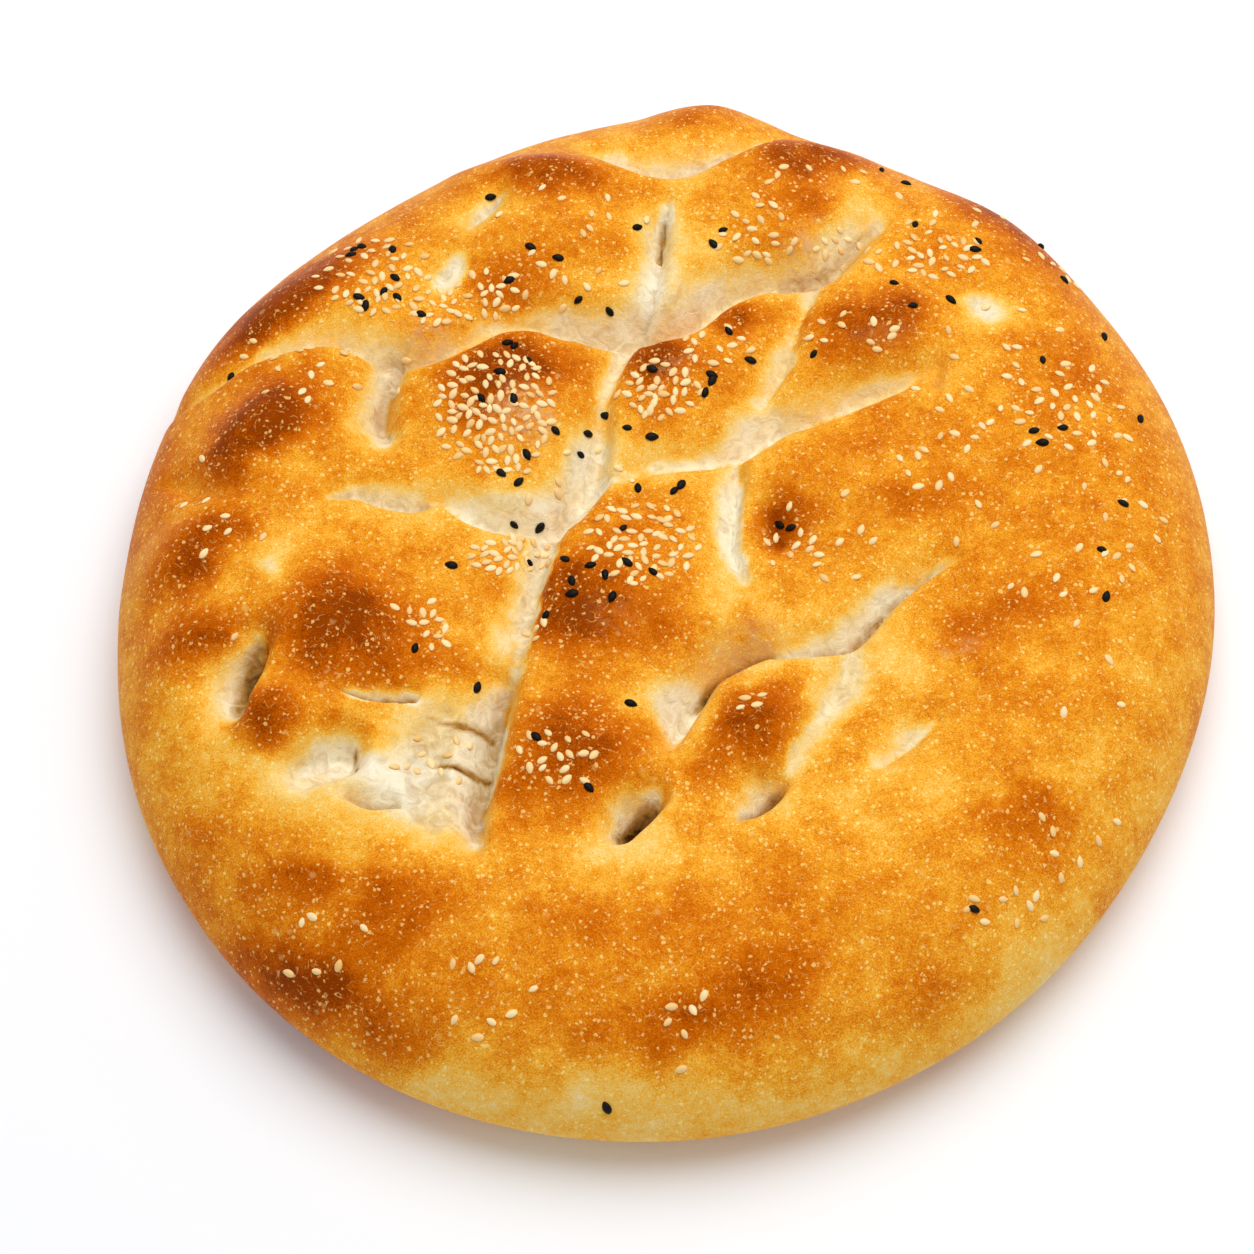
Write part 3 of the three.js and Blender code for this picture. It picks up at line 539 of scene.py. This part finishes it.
def baked(x, y, rise, pale, halo, wave):
    """How far the crust baked at each point, and how much of it is skin over steam or painted sheen."""
    sway = PATCH_STRAY * swells(x, y, PATCH_SWELLS, PATCH_LAYERS_X)
    stray = PATCH_STRAY * swells(x, y, PATCH_SWELLS, PATCH_LAYERS_Y)
    x, y = x + sway, y + stray
    browned = BROWNING * patched(BROWNED, x, y, BROWNED_EDGE)
    shaded = HALO * np.minimum(halo, 1) * np.clip(1 - HALO_HIDDEN * browned, 0, 1)
    bake = BAKE_PLAIN + BAKE_PER_RISE * np.clip(rise, *BAKE_RISES) + BAKE_PER_WAVE * wave
    bake += browned - shaded - patched(PALE, x, y)
    # Skin over steam, with painted sheen in some of its patches
    skin_and_sheen = np.minimum(patched(SHEEN, x, y, SHEEN_EDGE), 1)
    return bake * (1 - pale) + BAKE_STRETCHED * pale, skin_and_sheen


def fine_relief(places, pale, waviness, wrinkle):
    """Soft waves at each place, and how far up they and the wrinkles push the top."""
    top = smooth((places[:, 2] - WAVES_FROM) / WAVES_OVER)
    wave = np.array([noise.noise(Vector(p) / WAVE) + noise.noise(Vector(p) / (WAVE / 2)) / 2
                     for p in places])
    crinkle = np.array([noise.noise(Vector((x / WRINKLE_WIDE, y / WRINKLE_LONG, z / WRINKLE_WIDE)))
                        for x, y, z in places])
    return wave, top * (wave * waviness + crinkle * pale * wrinkle) / MM


def linear(code, alpha=1.0):
    """An sRGB hex colour as linear red, green, blue, alpha."""
    parts = [int(code[i:i + 2], 16) / 255 for i in (1, 3, 5)]
    return [c / 12.92 if c <= 0.04045 else ((c + 0.055) / 1.055) ** 2.4 for c in parts] + [alpha]


def per_metre(size):
    """Scale of a pattern whose swells or cells are so many millimetres across."""
    return 1 / (size * MM)


def add(tree, kind, inputs=None, stops=None, **settings):
    """One shader node with its settings, socket values and incoming links. A ramp's ends come first."""
    node = tree.nodes.new(kind)
    for name, value in settings.items():
        setattr(node, name, value)
    for i, (place, code) in enumerate(stops or []):
        bar = node.color_ramp.elements
        element = bar[i] if i < 2 else bar.new(place)
        element.position = place
        element.color = linear(code)
    for name, value in (inputs or {}).items():
        if isinstance(value, bpy.types.NodeSocket):
            tree.links.new(value, node.inputs[name])
        else:
            node.inputs[name].default_value = value
    return node


def new_material(name):
    """An empty material and its node tree."""
    material = bpy.data.materials.new(name)
    material.use_nodes = True
    material.node_tree.nodes.clear()
    return material, material.node_tree


def dots(tree, place, spacing, biggest, soft):
    """Mask of scattered round dots, none larger than a radius given as a share of their spacing."""
    cells = add(tree, "ShaderNodeTexVoronoi", {"Vector": place, "Scale": per_metre(spacing)})
    edge = add(tree, "ShaderNodeMath", {0: cells.outputs["Color"], 1: biggest}, operation="MULTIPLY")
    inside = add(tree, "ShaderNodeMath", {0: edge.outputs[0], 1: cells.outputs["Distance"]},
                 operation="SUBTRACT")
    return add(tree, "ShaderNodeMath", {0: inside.outputs[0], 1: 1 / soft}, operation="MULTIPLY",
               use_clamp=True).outputs[0]


def dashes(tree, place):
    """Mask of short curved dashes: broken level lines of a smooth noise."""
    size, gain, start = DASH_LINES
    level = add(tree, "ShaderNodeTexNoise", {"Vector": place, "Scale": per_metre(size), "Detail": 0})
    off = add(tree, "ShaderNodeMath", {0: level.outputs["Fac"], 1: 0.5}, operation="SUBTRACT")
    far = add(tree, "ShaderNodeMath", {0: off.outputs[0]}, operation="ABSOLUTE")
    line = add(tree, "ShaderNodeMath", {0: far.outputs[0], 1: gain, 2: start}, operation="MULTIPLY_ADD",
               use_clamp=True)
    size, gain, start = DASH_BREAKS
    gaps = add(tree, "ShaderNodeTexNoise", {"Vector": place, "Scale": per_metre(size), "Detail": 0})
    kept = add(tree, "ShaderNodeMath", {0: gaps.outputs["Fac"], 1: gain, 2: start},
               operation="MULTIPLY_ADD", use_clamp=True)
    return add(tree, "ShaderNodeMath", {0: line.outputs[0], 1: kept.outputs[0]},
               operation="MULTIPLY").outputs[0]


def dry_spots(tree, place):
    """Mask of the fine specks, blisters and dashes that dry out in the oven."""
    shake = add(tree, "ShaderNodeTexNoise", {"Vector": place, "Scale": per_metre(SHAKE_SIZE), "Detail": 1})
    shaken = add(tree, "ShaderNodeVectorMath", {0: shake.outputs["Color"], 1: (SHAKE * MM,) * 3, 2: place},
                 operation="MULTIPLY_ADD").outputs[0]
    blisters = add(tree, "ShaderNodeMath", {0: dots(tree, shaken, *BLISTERS), 1: BLISTER_LIGHT},
                   operation="MULTIPLY")
    coarse = add(tree, "ShaderNodeMath", {0: dashes(tree, place), 1: blisters.outputs[0]},
                 operation="MAXIMUM")
    return add(tree, "ShaderNodeMath", {0: dots(tree, shaken, *SPECKS), 1: coarse.outputs[0]},
               operation="MAXIMUM").outputs[0]


def baked_colour(tree, place, bake, shown, colours):
    """Colour of the crust by its bake, uneven where it has coloured, and the finest pattern in it."""
    blotch, mottle, grain = (
        add(tree, "ShaderNodeTexNoise", {"Vector": place, "Scale": per_metre(size), "Detail": detail,
                                         "Roughness": roughness}).outputs["Fac"]
        for size, detail, roughness in (BLOTCH, MOTTLE, GRAIN))
    uneven = -DEPTH_MIDDLE
    for pattern, depth in ((blotch, BLOTCH_DEPTH), (mottle, MOTTLE_DEPTH), (grain, GRAIN_DEPTH)):
        uneven = add(tree, "ShaderNodeMath", {0: pattern, 1: depth, 2: uneven},
                     operation="MULTIPLY_ADD").outputs[0]
    tone = add(tree, "ShaderNodeMath", {0: uneven, 1: shown, 2: bake}, operation="MULTIPLY_ADD")
    colour = add(tree, "ShaderNodeValToRGB", {"Fac": tone.outputs[0]}, stops=[
        (0.04, colours.cream), (1.0, colours.darkest), (0.16, colours.straw), (0.28, colours.pale),
        (0.42, colours.gold), (0.54, colours.orange), (0.68, colours.amber), (0.84, colours.brown)])
    return colour.outputs["Color"], grain


def under_skin_and_sheen(tree, place, colour, sheen, colours):
    """The colour with mottled skin over it where steam lifted it, and with painted sheen."""
    size, gain, start = SKIN_AND_SHEEN_MOTTLE
    skin_and_sheen = add(tree, "ShaderNodeTexNoise", {"Vector": place, "Scale": per_metre(size), "Detail": 3,
                                            "Distortion": 0.8})
    seen = add(tree, "ShaderNodeMath", {0: skin_and_sheen.outputs["Fac"], 1: gain, 2: start},
               operation="MULTIPLY_ADD", use_clamp=True)
    skin = add(tree, "ShaderNodeMath", {0: seen.outputs[0], 1: sheen}, operation="MULTIPLY")
    return add(tree, "ShaderNodeMix", {"Factor": skin.outputs[0], 6: colour, 7: linear(colours.sheen)},
               data_type="RGBA").outputs[2]


def painted_shade_in_folds(tree, colour, painted_shade, stretched, wrinkles, colours):
    """The colour with shade painted into the folds, and darker in patches where the dough is stretched."""
    gain, start = WRINKLE_SHADE
    swell = add(tree, "ShaderNodeMath", {0: wrinkles, 1: gain, 2: start}, operation="MULTIPLY_ADD")
    patchy = add(tree, "ShaderNodeMath", {0: swell.outputs[0], 1: stretched, 2: painted_shade},
                 operation="MULTIPLY_ADD")
    shade = add(tree, "ShaderNodeValToRGB", {"Fac": patchy.outputs[0]}, stops=[
        (0.0, "#ffffff"), (1.0, colours.deep), (FOLD_SHADE_STOP, colours.painted_shade)])
    return add(tree, "ShaderNodeMix", {"Factor": 1.0, 6: colour, 7: shade.outputs["Color"]},
               data_type="RGBA", blend_type="MULTIPLY").outputs[2]


def crust_bump(tree, grain, dry, stretched, wrinkles):
    """Bump of the grain, the dry spots and the wrinkles in stretched dough."""
    crinkled = add(tree, "ShaderNodeMath", {0: wrinkles, 1: stretched}, operation="MULTIPLY")
    grainy = add(tree, "ShaderNodeMath", {0: crinkled.outputs[0], 1: BUMP_WRINKLES, 2: grain},
                 operation="MULTIPLY_ADD")
    raised = add(tree, "ShaderNodeMath", {0: dry, 1: BUMP_SPECKS, 2: grainy.outputs[0]},
                 operation="MULTIPLY_ADD")
    return add(tree, "ShaderNodeBump", {"Height": raised.outputs[0], "Strength": BUMP_STRENGTH,
                                        "Distance": BUMP * MM}).outputs[0]


def crust_material(colours):
    """Baked wheat dough, brushed with oil."""
    # Satin, cream where a finger stretched it, golden to brown where it rose, all over fine dry specks,
    # with shade painted down in the folds, and skin over steam and painted sheen in patches
    material, tree = new_material("baked_crust")
    place = add(tree, "ShaderNodeTexCoord").outputs["Object"]
    bake, painted_shade, stretched, sheen = (add(tree, "ShaderNodeAttribute", attribute_name=name).outputs["Fac"]
                                    for name in ("bake", "painted_shade", "stretched", "sheen"))
    wrinkles = add(tree, "ShaderNodeTexNoise", {"Vector": place, "Scale": per_metre(WRINKLES), "Detail": 4,
                                                "Distortion": 1.2}).outputs["Fac"]
    shown = add(tree, "ShaderNodeMath", {0: bake, 1: SHOWN_GAIN, 2: SHOWN_START},
                operation="MULTIPLY_ADD", use_clamp=True).outputs[0]
    dry = add(tree, "ShaderNodeMath", {0: dry_spots(tree, place), 1: shown},
              operation="MULTIPLY").outputs[0]
    colour, grain = baked_colour(tree, place, bake, shown, colours)
    specked = add(tree, "ShaderNodeMix", {"Factor": dry, 6: colour, 7: linear(colours.speck)},
                  data_type="RGBA", blend_type="SCREEN").outputs[2]
    covered = under_skin_and_sheen(tree, place, specked, sheen, colours)
    folded = painted_shade_in_folds(tree, covered, painted_shade, stretched, wrinkles, colours)
    bump = crust_bump(tree, grain, dry, stretched, wrinkles)
    skin = add(tree, "ShaderNodeBsdfPrincipled", {"Base Color": folded, "Roughness": 0.5, "Normal": bump,
                                                  "Specular IOR Level": 0.07,
                                                  "Specular Tint": linear(colours.oil)})
    add(tree, "ShaderNodeOutputMaterial", {"Surface": skin.outputs[0]})
    return material


def seed_material(name, dark, light, shine):
    """Dry seed coat, from the oven."""
    # Satin, faintly grained, each seed a little lighter or darker than the next
    material, tree = new_material(name)
    place = add(tree, "ShaderNodeTexCoord").outputs["Object"]
    shade = add(tree, "ShaderNodeAttribute", attribute_name="shade").outputs["Fac"]
    colour = add(tree, "ShaderNodeValToRGB", {"Fac": shade}, stops=[(0.0, dark), (1.0, light)])
    grain = add(tree, "ShaderNodeTexNoise", {"Vector": place, "Scale": per_metre(SEED_GRAIN), "Detail": 2})
    bump = add(tree, "ShaderNodeBump", {"Height": grain.outputs["Fac"], "Strength": SEED_BUMP_STRENGTH,
                                        "Distance": SEED_BUMP * MM})
    coat = add(tree, "ShaderNodeBsdfPrincipled", {"Base Color": colour.outputs["Color"], "Roughness": 0.5,
                                                  "Specular IOR Level": shine, "Normal": bump.outputs[0]})
    add(tree, "ShaderNodeOutputMaterial", {"Surface": coat.outputs[0]})
    return material


def floor_material(colours):
    """White paper, unglazed."""
    # Matt, so nothing but the soft shadow shows on it
    material, tree = new_material("matt_white_floor")
    matt = add(tree, "ShaderNodeBsdfPrincipled", {"Base Color": linear(colours.floor), "Roughness": 0.9,
                                                  "Specular IOR Level": 0.1})
    add(tree, "ShaderNodeOutputMaterial", {"Surface": matt.outputs[0]})
    return material


def linked(bm, name, material):
    """The bmesh as an object of that material in the scene."""
    mesh = bpy.data.meshes.new(name)
    bm.to_mesh(mesh)
    bm.free()
    mesh.materials.append(material)
    piece = bpy.data.objects.new(name, mesh)
    bpy.context.scene.collection.objects.link(piece)
    return piece


def finished(bm, name, material):
    """The bmesh as a smooth piece of that material and slot, riding with the loaf."""
    piece = linked(bm, name, material)
    piece.data.shade_smooth()
    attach(piece, "root")
    return piece


def set_shade(mesh, name, values):
    """A number at each corner, for a material to read."""
    layer = mesh.attributes.new(name, "FLOAT", "POINT")
    layer.data.foreach_set("value", np.asarray(values, np.float32))


def crust_middle():
    """Middle of the crust's box in plan, which is where the origin lies."""
    return Vector((*bpy.data.objects["crust"]["middle"], 0))


def camera_axes():
    """Eye, right, up and forward of the camera, in millimetres."""
    tilt = math.radians(CAMERA_ELEVATION)
    forward = Vector((0, math.cos(tilt), -math.sin(tilt)))
    right = Vector((1, 0, 0))
    return CAMERA_TARGET - forward * CAMERA_DISTANCE, right, right.cross(forward), forward


class PideLoaf(bpy.types.PropertyGroup):
    grid: bpy.props.IntProperty(
        name="Grid", description="Squares along each side of the crust's grid", default=300)
    waviness: bpy.props.FloatProperty(
        name="Waviness", description="Height of the soft unevenness of the crust", default=0.0006,
        unit="LENGTH")
    wrinkle: bpy.props.FloatProperty(
        name="Wrinkle", description="Height of the fine wrinkles in the stretched dough", default=0.0006,
        unit="LENGTH")


class PideColours(bpy.types.PropertyGroup):
    cream: bpy.props.StringProperty(name="Cream", description="Dough that stayed pale", default="#f5ecd0")
    straw: bpy.props.StringProperty(name="Straw", description="Pale dough at the lips", default="#f1d89e")
    pale: bpy.props.StringProperty(name="Pale", description="Barely coloured crust", default="#f4c662")
    gold: bpy.props.StringProperty(name="Gold", description="Lightly baked crust", default="#f2ac30")
    orange: bpy.props.StringProperty(name="Orange", description="Baked crust", default="#e48d1b")
    amber: bpy.props.StringProperty(name="Amber", description="Well baked crust", default="#cf6b09")
    brown: bpy.props.StringProperty(name="Brown", description="Browned tops", default="#b65301")
    darkest: bpy.props.StringProperty(name="Darkest", description="Scorched edges", default="#8a3700")
    # Shade painted into the folds: a tint for a fold's bottom, and a darker one for a hole's
    painted_shade: bpy.props.StringProperty(
        name="Damp", description="Tint of the damp dough deep in a fold", default="#b8935a")
    deep: bpy.props.StringProperty(
        name="Deep", description="Tint of the shaded bottom of a hole", default="#452502")
    # Skin over steam, and painted sheen
    sheen: bpy.props.StringProperty(
        name="Sheen", description="Thin skin stretched over steam", default="#dcab78")
    oil: bpy.props.StringProperty(
        name="Oil", description="Tint of the reflection of the oiled crust", default="#ffb030")
    speck: bpy.props.StringProperty(name="Specks", description="Fine dry blisters", default="#cfa765")
    sesame: bpy.props.StringProperty(name="Sesame", description="Lightest sesame seed", default="#fee3a8")
    toasted: bpy.props.StringProperty(
        name="Toasted sesame", description="Darkest sesame seed", default="#efbe70")
    nigella: bpy.props.StringProperty(name="Nigella", description="Darkest nigella seed", default="#070504")
    dusty: bpy.props.StringProperty(
        name="Dusty nigella", description="Lightest nigella seed", default="#17120f")
    floor: bpy.props.StringProperty(name="Floor", description="Stage floor", default="#f9fafc")


class PideSeeds(bpy.types.PropertyGroup):
    sesame_long: bpy.props.FloatProperty(
        name="Sesame length", description="Length of a sesame seed", default=0.0031, unit="LENGTH")
    nigella_long: bpy.props.FloatProperty(
        name="Nigella length", description="Length of a nigella seed", default=0.0034, unit="LENGTH")
    sunk: bpy.props.FloatProperty(
        name="Sunk", description="Share of a seed's thickness that is in the crust", default=0.4,
        subtype="FACTOR", min=0, max=1)


def skin_grid(squares):
    """A flat grid of corners for the skin, closed by two rings for the base, the last of them one point."""
    bm = bmesh.new()
    bmesh.ops.create_grid(bm, x_segments=squares, y_segments=squares, size=1)
    for level in BASE_LEVELS:
        edge = [e for e in bm.edges if e.is_boundary]
        drawn = bmesh.ops.extrude_edge_only(bm, edges=edge)["geom"]
        inner = [v for v in drawn if isinstance(v, bmesh.types.BMVert)]
        for v in inner:
            v.co.z = level
    bmesh.ops.pointmerge(bm, verts=inner, merge_co=(0, 0, BASE_LEVELS[-1]))
    return bm


class PIDE_OT_crust(bpy.types.Operator):
    """Make the crust over the loaf's form, and colour it by how it baked"""
    bl_idname = "pide.crust"
    bl_label = "Crust"

    def execute(self, context):
        settings = context.scene.pide_loaf
        material = crust_material(context.scene.pide_colours)
        piece = finished(skin_grid(settings.grid), "crust", material)
        mesh = piece.data
        flat = np.empty(len(mesh.vertices) * 3, np.float32)
        mesh.vertices.foreach_get("co", flat)
        flat = flat.reshape(-1, 3).astype(float)
        ring, point = (flat[:, 2] == level for level in BASE_LEVELS)
        places, rise, pale, painted_shade, halo = crust_places(flat[:, :2])
        places[ring] *= BASE_INSET
        places[point] = 0
        wave, up = fine_relief(places, pale, settings.waviness, settings.wrinkle)
        places[:, 2] += up
        bake, skin_and_sheen = baked(places[:, 0], places[:, 1], rise, pale, halo, wave)
        bake[ring], bake[point] = BAKE_BASE
        paled = smooth((STRETCHED_BELOW - bake) / STRETCHED_OVER)
        middle = (places.max(axis=0) + places.min(axis=0)) / 2
        piece["middle"] = middle[:2].tolist()
        places[:, :2] -= middle[:2]
        mesh.vertices.foreach_set("co", (places * MM).astype(np.float32).ravel())
        set_shade(mesh, "bake", np.clip(bake, 0, 1))
        # Painted shade in the folds, for the material to read
        set_shade(mesh, "painted_shade", painted_shade)
        set_shade(mesh, "stretched", np.maximum.reduce([pale, skin_and_sheen, paled]))
        # Skin over steam and painted sheen, for the material to read
        set_shade(mesh, "sheen", skin_and_sheen)
        mesh.update()
        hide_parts("loaf")
        return {"FINISHED"}


def seed_shape(long, wide, thick, sides, rings):
    """One seed along +Y, pulled to a point at its tip, as a mesh."""
    bm = bmesh.new()
    bmesh.ops.create_uvsphere(bm, u_segments=sides, v_segments=rings, radius=1)
    bmesh.ops.rotate(bm, verts=bm.verts, matrix=Matrix.Rotation(math.radians(-90), 3, "X"))
    for v in bm.verts:
        narrow = 1 - SEED_POINT * max(v.co.y, 0) ** SEED_POINT_CURVE
        v.co = Vector((v.co.x * narrow * wide / 2, v.co.y * long / 2, v.co.z * narrow * thick / 2))
    mesh = bpy.data.meshes.new("seed")
    bm.to_mesh(mesh)
    bm.free()
    return mesh


def laid_on(tree, x, y):
    """Spot and slope of the crust on the line of sight through a point of the level plane."""
    shift = crust_middle()
    eye = camera_axes()[0] - shift
    through = Vector((x, y, SEEN_LEVEL)) - shift
    spot, slope, _, _ = tree.ray_cast(eye * MM, (through - eye).normalized())
    return spot, slope


def lay_seeds(name, shape, spots, draw, material, sunk):
    """All seeds of one kind, each on its spot of the crust, as one mesh."""
    crust = bmesh.new()
    crust.from_mesh(bpy.data.objects["crust"].data)
    tree = BVHTree.FromBMesh(crust)
    crust.free()
    thick = max(v.co.z for v in shape.vertices) * 2
    bm = bmesh.new()
    shades = []
    for x, y in spots:
        turn = draw.uniform(0, 2 * math.pi)
        size = draw.uniform(*SEED_SIZES)
        shade = draw.random() ** SEED_SHADES
        spot, slope = laid_on(tree, x, y)
        if spot is None:
            continue
        tip = Vector((draw.gauss(0, SEED_TILT), draw.gauss(0, SEED_TILT), 0))
        lean = (slope + tip).normalized().to_track_quat("Z", "Y").to_matrix().to_4x4()
        seat = Matrix.Translation(spot + slope * thick * (0.5 - sunk))
        before = len(bm.verts)
        bm.from_mesh(shape)
        bm.verts.ensure_lookup_table()
        fresh = bm.verts[before:]
        place = seat @ lean @ Matrix.Rotation(turn, 4, "Z") @ Matrix.Scale(size, 4)
        bmesh.ops.transform(bm, matrix=place, verts=fresh)
        shades += [shade] * len(fresh)
    piece = finished(bm, name, material)
    set_shade(piece.data, "shade", shades)


def scattered(patches, draw):
    """Spots of the seeds of all patches, each clear of those before it."""
    spots = []
    for middle, reach, count in patches:
        for _ in range(count):
            gap = SEED_GAP
            clear = False
            while not clear:
                turn = draw.uniform(0, 2 * math.pi)
                far = draw.random() ** PATCH_CROWDING
                x = middle[0] + reach[0] * far * math.cos(turn)
                y = middle[1] + reach[1] * far * math.sin(turn)
                clear = all(math.hypot(x - a, y - b) > gap for a, b in spots)
                gap *= GAP_SHRINK
            spots.append((x, y))
    return spots


class PIDE_OT_sesame(bpy.types.Operator):
    """Scatter the sesame seeds in their patches"""
    bl_idname = "pide.sesame"
    bl_label = "Sesame seeds"

    def execute(self, context):
        sizes, colours = context.scene.pide_seeds, context.scene.pide_colours
        wide, thick, sides, rings, shine = SESAME
        long = sizes.sesame_long
        draw = random.Random(SEED_DRAWS)
        spots = scattered(SESAME_PATCHES, draw)
        shape = seed_shape(long, long * wide, long * thick, sides, rings)
        material = seed_material("sesame_coat", colours.toasted, colours.sesame, shine)
        lay_seeds("sesame_seeds", shape, spots, draw, material, sizes.sunk)
        return {"FINISHED"}


class PIDE_OT_nigella(bpy.types.Operator):
    """Lay the nigella seeds on their spots"""
    bl_idname = "pide.nigella"
    bl_label = "Nigella seeds"

    def execute(self, context):
        sizes, colours = context.scene.pide_seeds, context.scene.pide_colours
        wide, thick, sides, rings, shine = NIGELLA
        long = sizes.nigella_long
        draw = random.Random(SEED_DRAWS + 1)
        shape = seed_shape(long, long * wide, long * thick, sides, rings)
        material = seed_material("nigella_coat", colours.nigella, colours.dusty, shine)
        lay_seeds("nigella_seeds", shape, NIGELLA_SPOTS, draw, material, sizes.sunk)
        return {"FINISHED"}


def lay_floor(colours):
    """A level floor, wide enough to have no edge in view."""
    bm = bmesh.new()
    bmesh.ops.create_grid(bm, x_segments=1, y_segments=1, size=FLOOR_REACH)
    floor = linked(bm, "floor", floor_material(colours))


def light_room(scene):
    """A large soft light behind the loaf, and even light from all round."""
    data = bpy.data.lights.new("key", "AREA")
    data.shape = "DISK"
    data.size = KEY_SIZE
    data.energy = KEY_POWER
    light = bpy.data.objects.new("key", data)
    light.location = KEY_PLACE
    light.rotation_euler = (KEY_AIM - KEY_PLACE).to_track_quat("-Z", "Y").to_euler()
    scene.collection.objects.link(light)
    world = bpy.data.worlds.new("studio")
    world.use_nodes = True
    background = world.node_tree.nodes["Background"]
    background.inputs["Color"].default_value = linear("#ffffff")
    background.inputs["Strength"].default_value = ROOM_LIGHT
    scene.world = world
    scene.view_settings.view_transform = "Standard"


def place_camera(scene):
    """The camera at the photo's viewing angle."""
    eye, right, up, forward = camera_axes()
    data = bpy.data.cameras.new("camera")
    data.lens = CAMERA_LENS
    data.sensor_width = SENSOR
    data.clip_start = CAMERA_NEAREST
    camera = bpy.data.objects.new("camera", data)
    turn = Matrix((right, up, -forward)).transposed()
    camera.matrix_world = Matrix.Translation((eye - crust_middle()) * MM) @ turn.to_4x4()
    scene.collection.objects.link(camera)
    scene.camera = camera


class PIDE_OT_stage(bpy.types.Operator):
    """Set out the floor, the light and the camera"""
    bl_idname = "pide.stage"
    bl_label = "Stage"

    def execute(self, context):
        scene = context.scene
        lay_floor(scene.pide_colours)
        light_room(scene)
        place_camera(scene)
        return {"FINISHED"}


class PIDE_PT_panel(bpy.types.Panel):
    """Lists the pieces of the pide"""
    bl_label = "Pide"
    bl_idname = "PIDE_PT_panel"
    bl_space_type = "VIEW_3D"
    bl_region_type = "UI"
    bl_category = "Pide"

    def draw(self, context):
        for operator in OPERATORS:
            self.layout.operator(operator.bl_idname)
        for name in GROUPS:
            group = getattr(context.scene, name)
            for setting in group.__annotations__:
                self.layout.prop(group, setting)


OPERATORS = (PIDE_OT_crust, PIDE_OT_sesame, PIDE_OT_nigella, PIDE_OT_stage)
GROUPS = {"pide_loaf": PideLoaf, "pide_colours": PideColours, "pide_seeds": PideSeeds}


def register():
    for part in (*GROUPS.values(), *OPERATORS, PIDE_PT_panel):
        bpy.utils.register_class(part)
    for name, group in GROUPS.items():
        setattr(bpy.types.Scene, name, bpy.props.PointerProperty(type=group))


def unregister():
    for name in GROUPS:
        delattr(bpy.types.Scene, name)
    for part in reversed((*GROUPS.values(), *OPERATORS, PIDE_PT_panel)):
        bpy.utils.unregister_class(part)


def corners(bounds):
    """The two corners of a box as plain lists of numbers."""
    return [list(map(float, corner)) for corner in bounds]


def main():
    register()
    bpy.ops.pide.crust()
    bpy.ops.pide.sesame()
    bpy.ops.pide.nigella()
    bpy.ops.pide.stage()


if __name__ == "__main__":
    main()
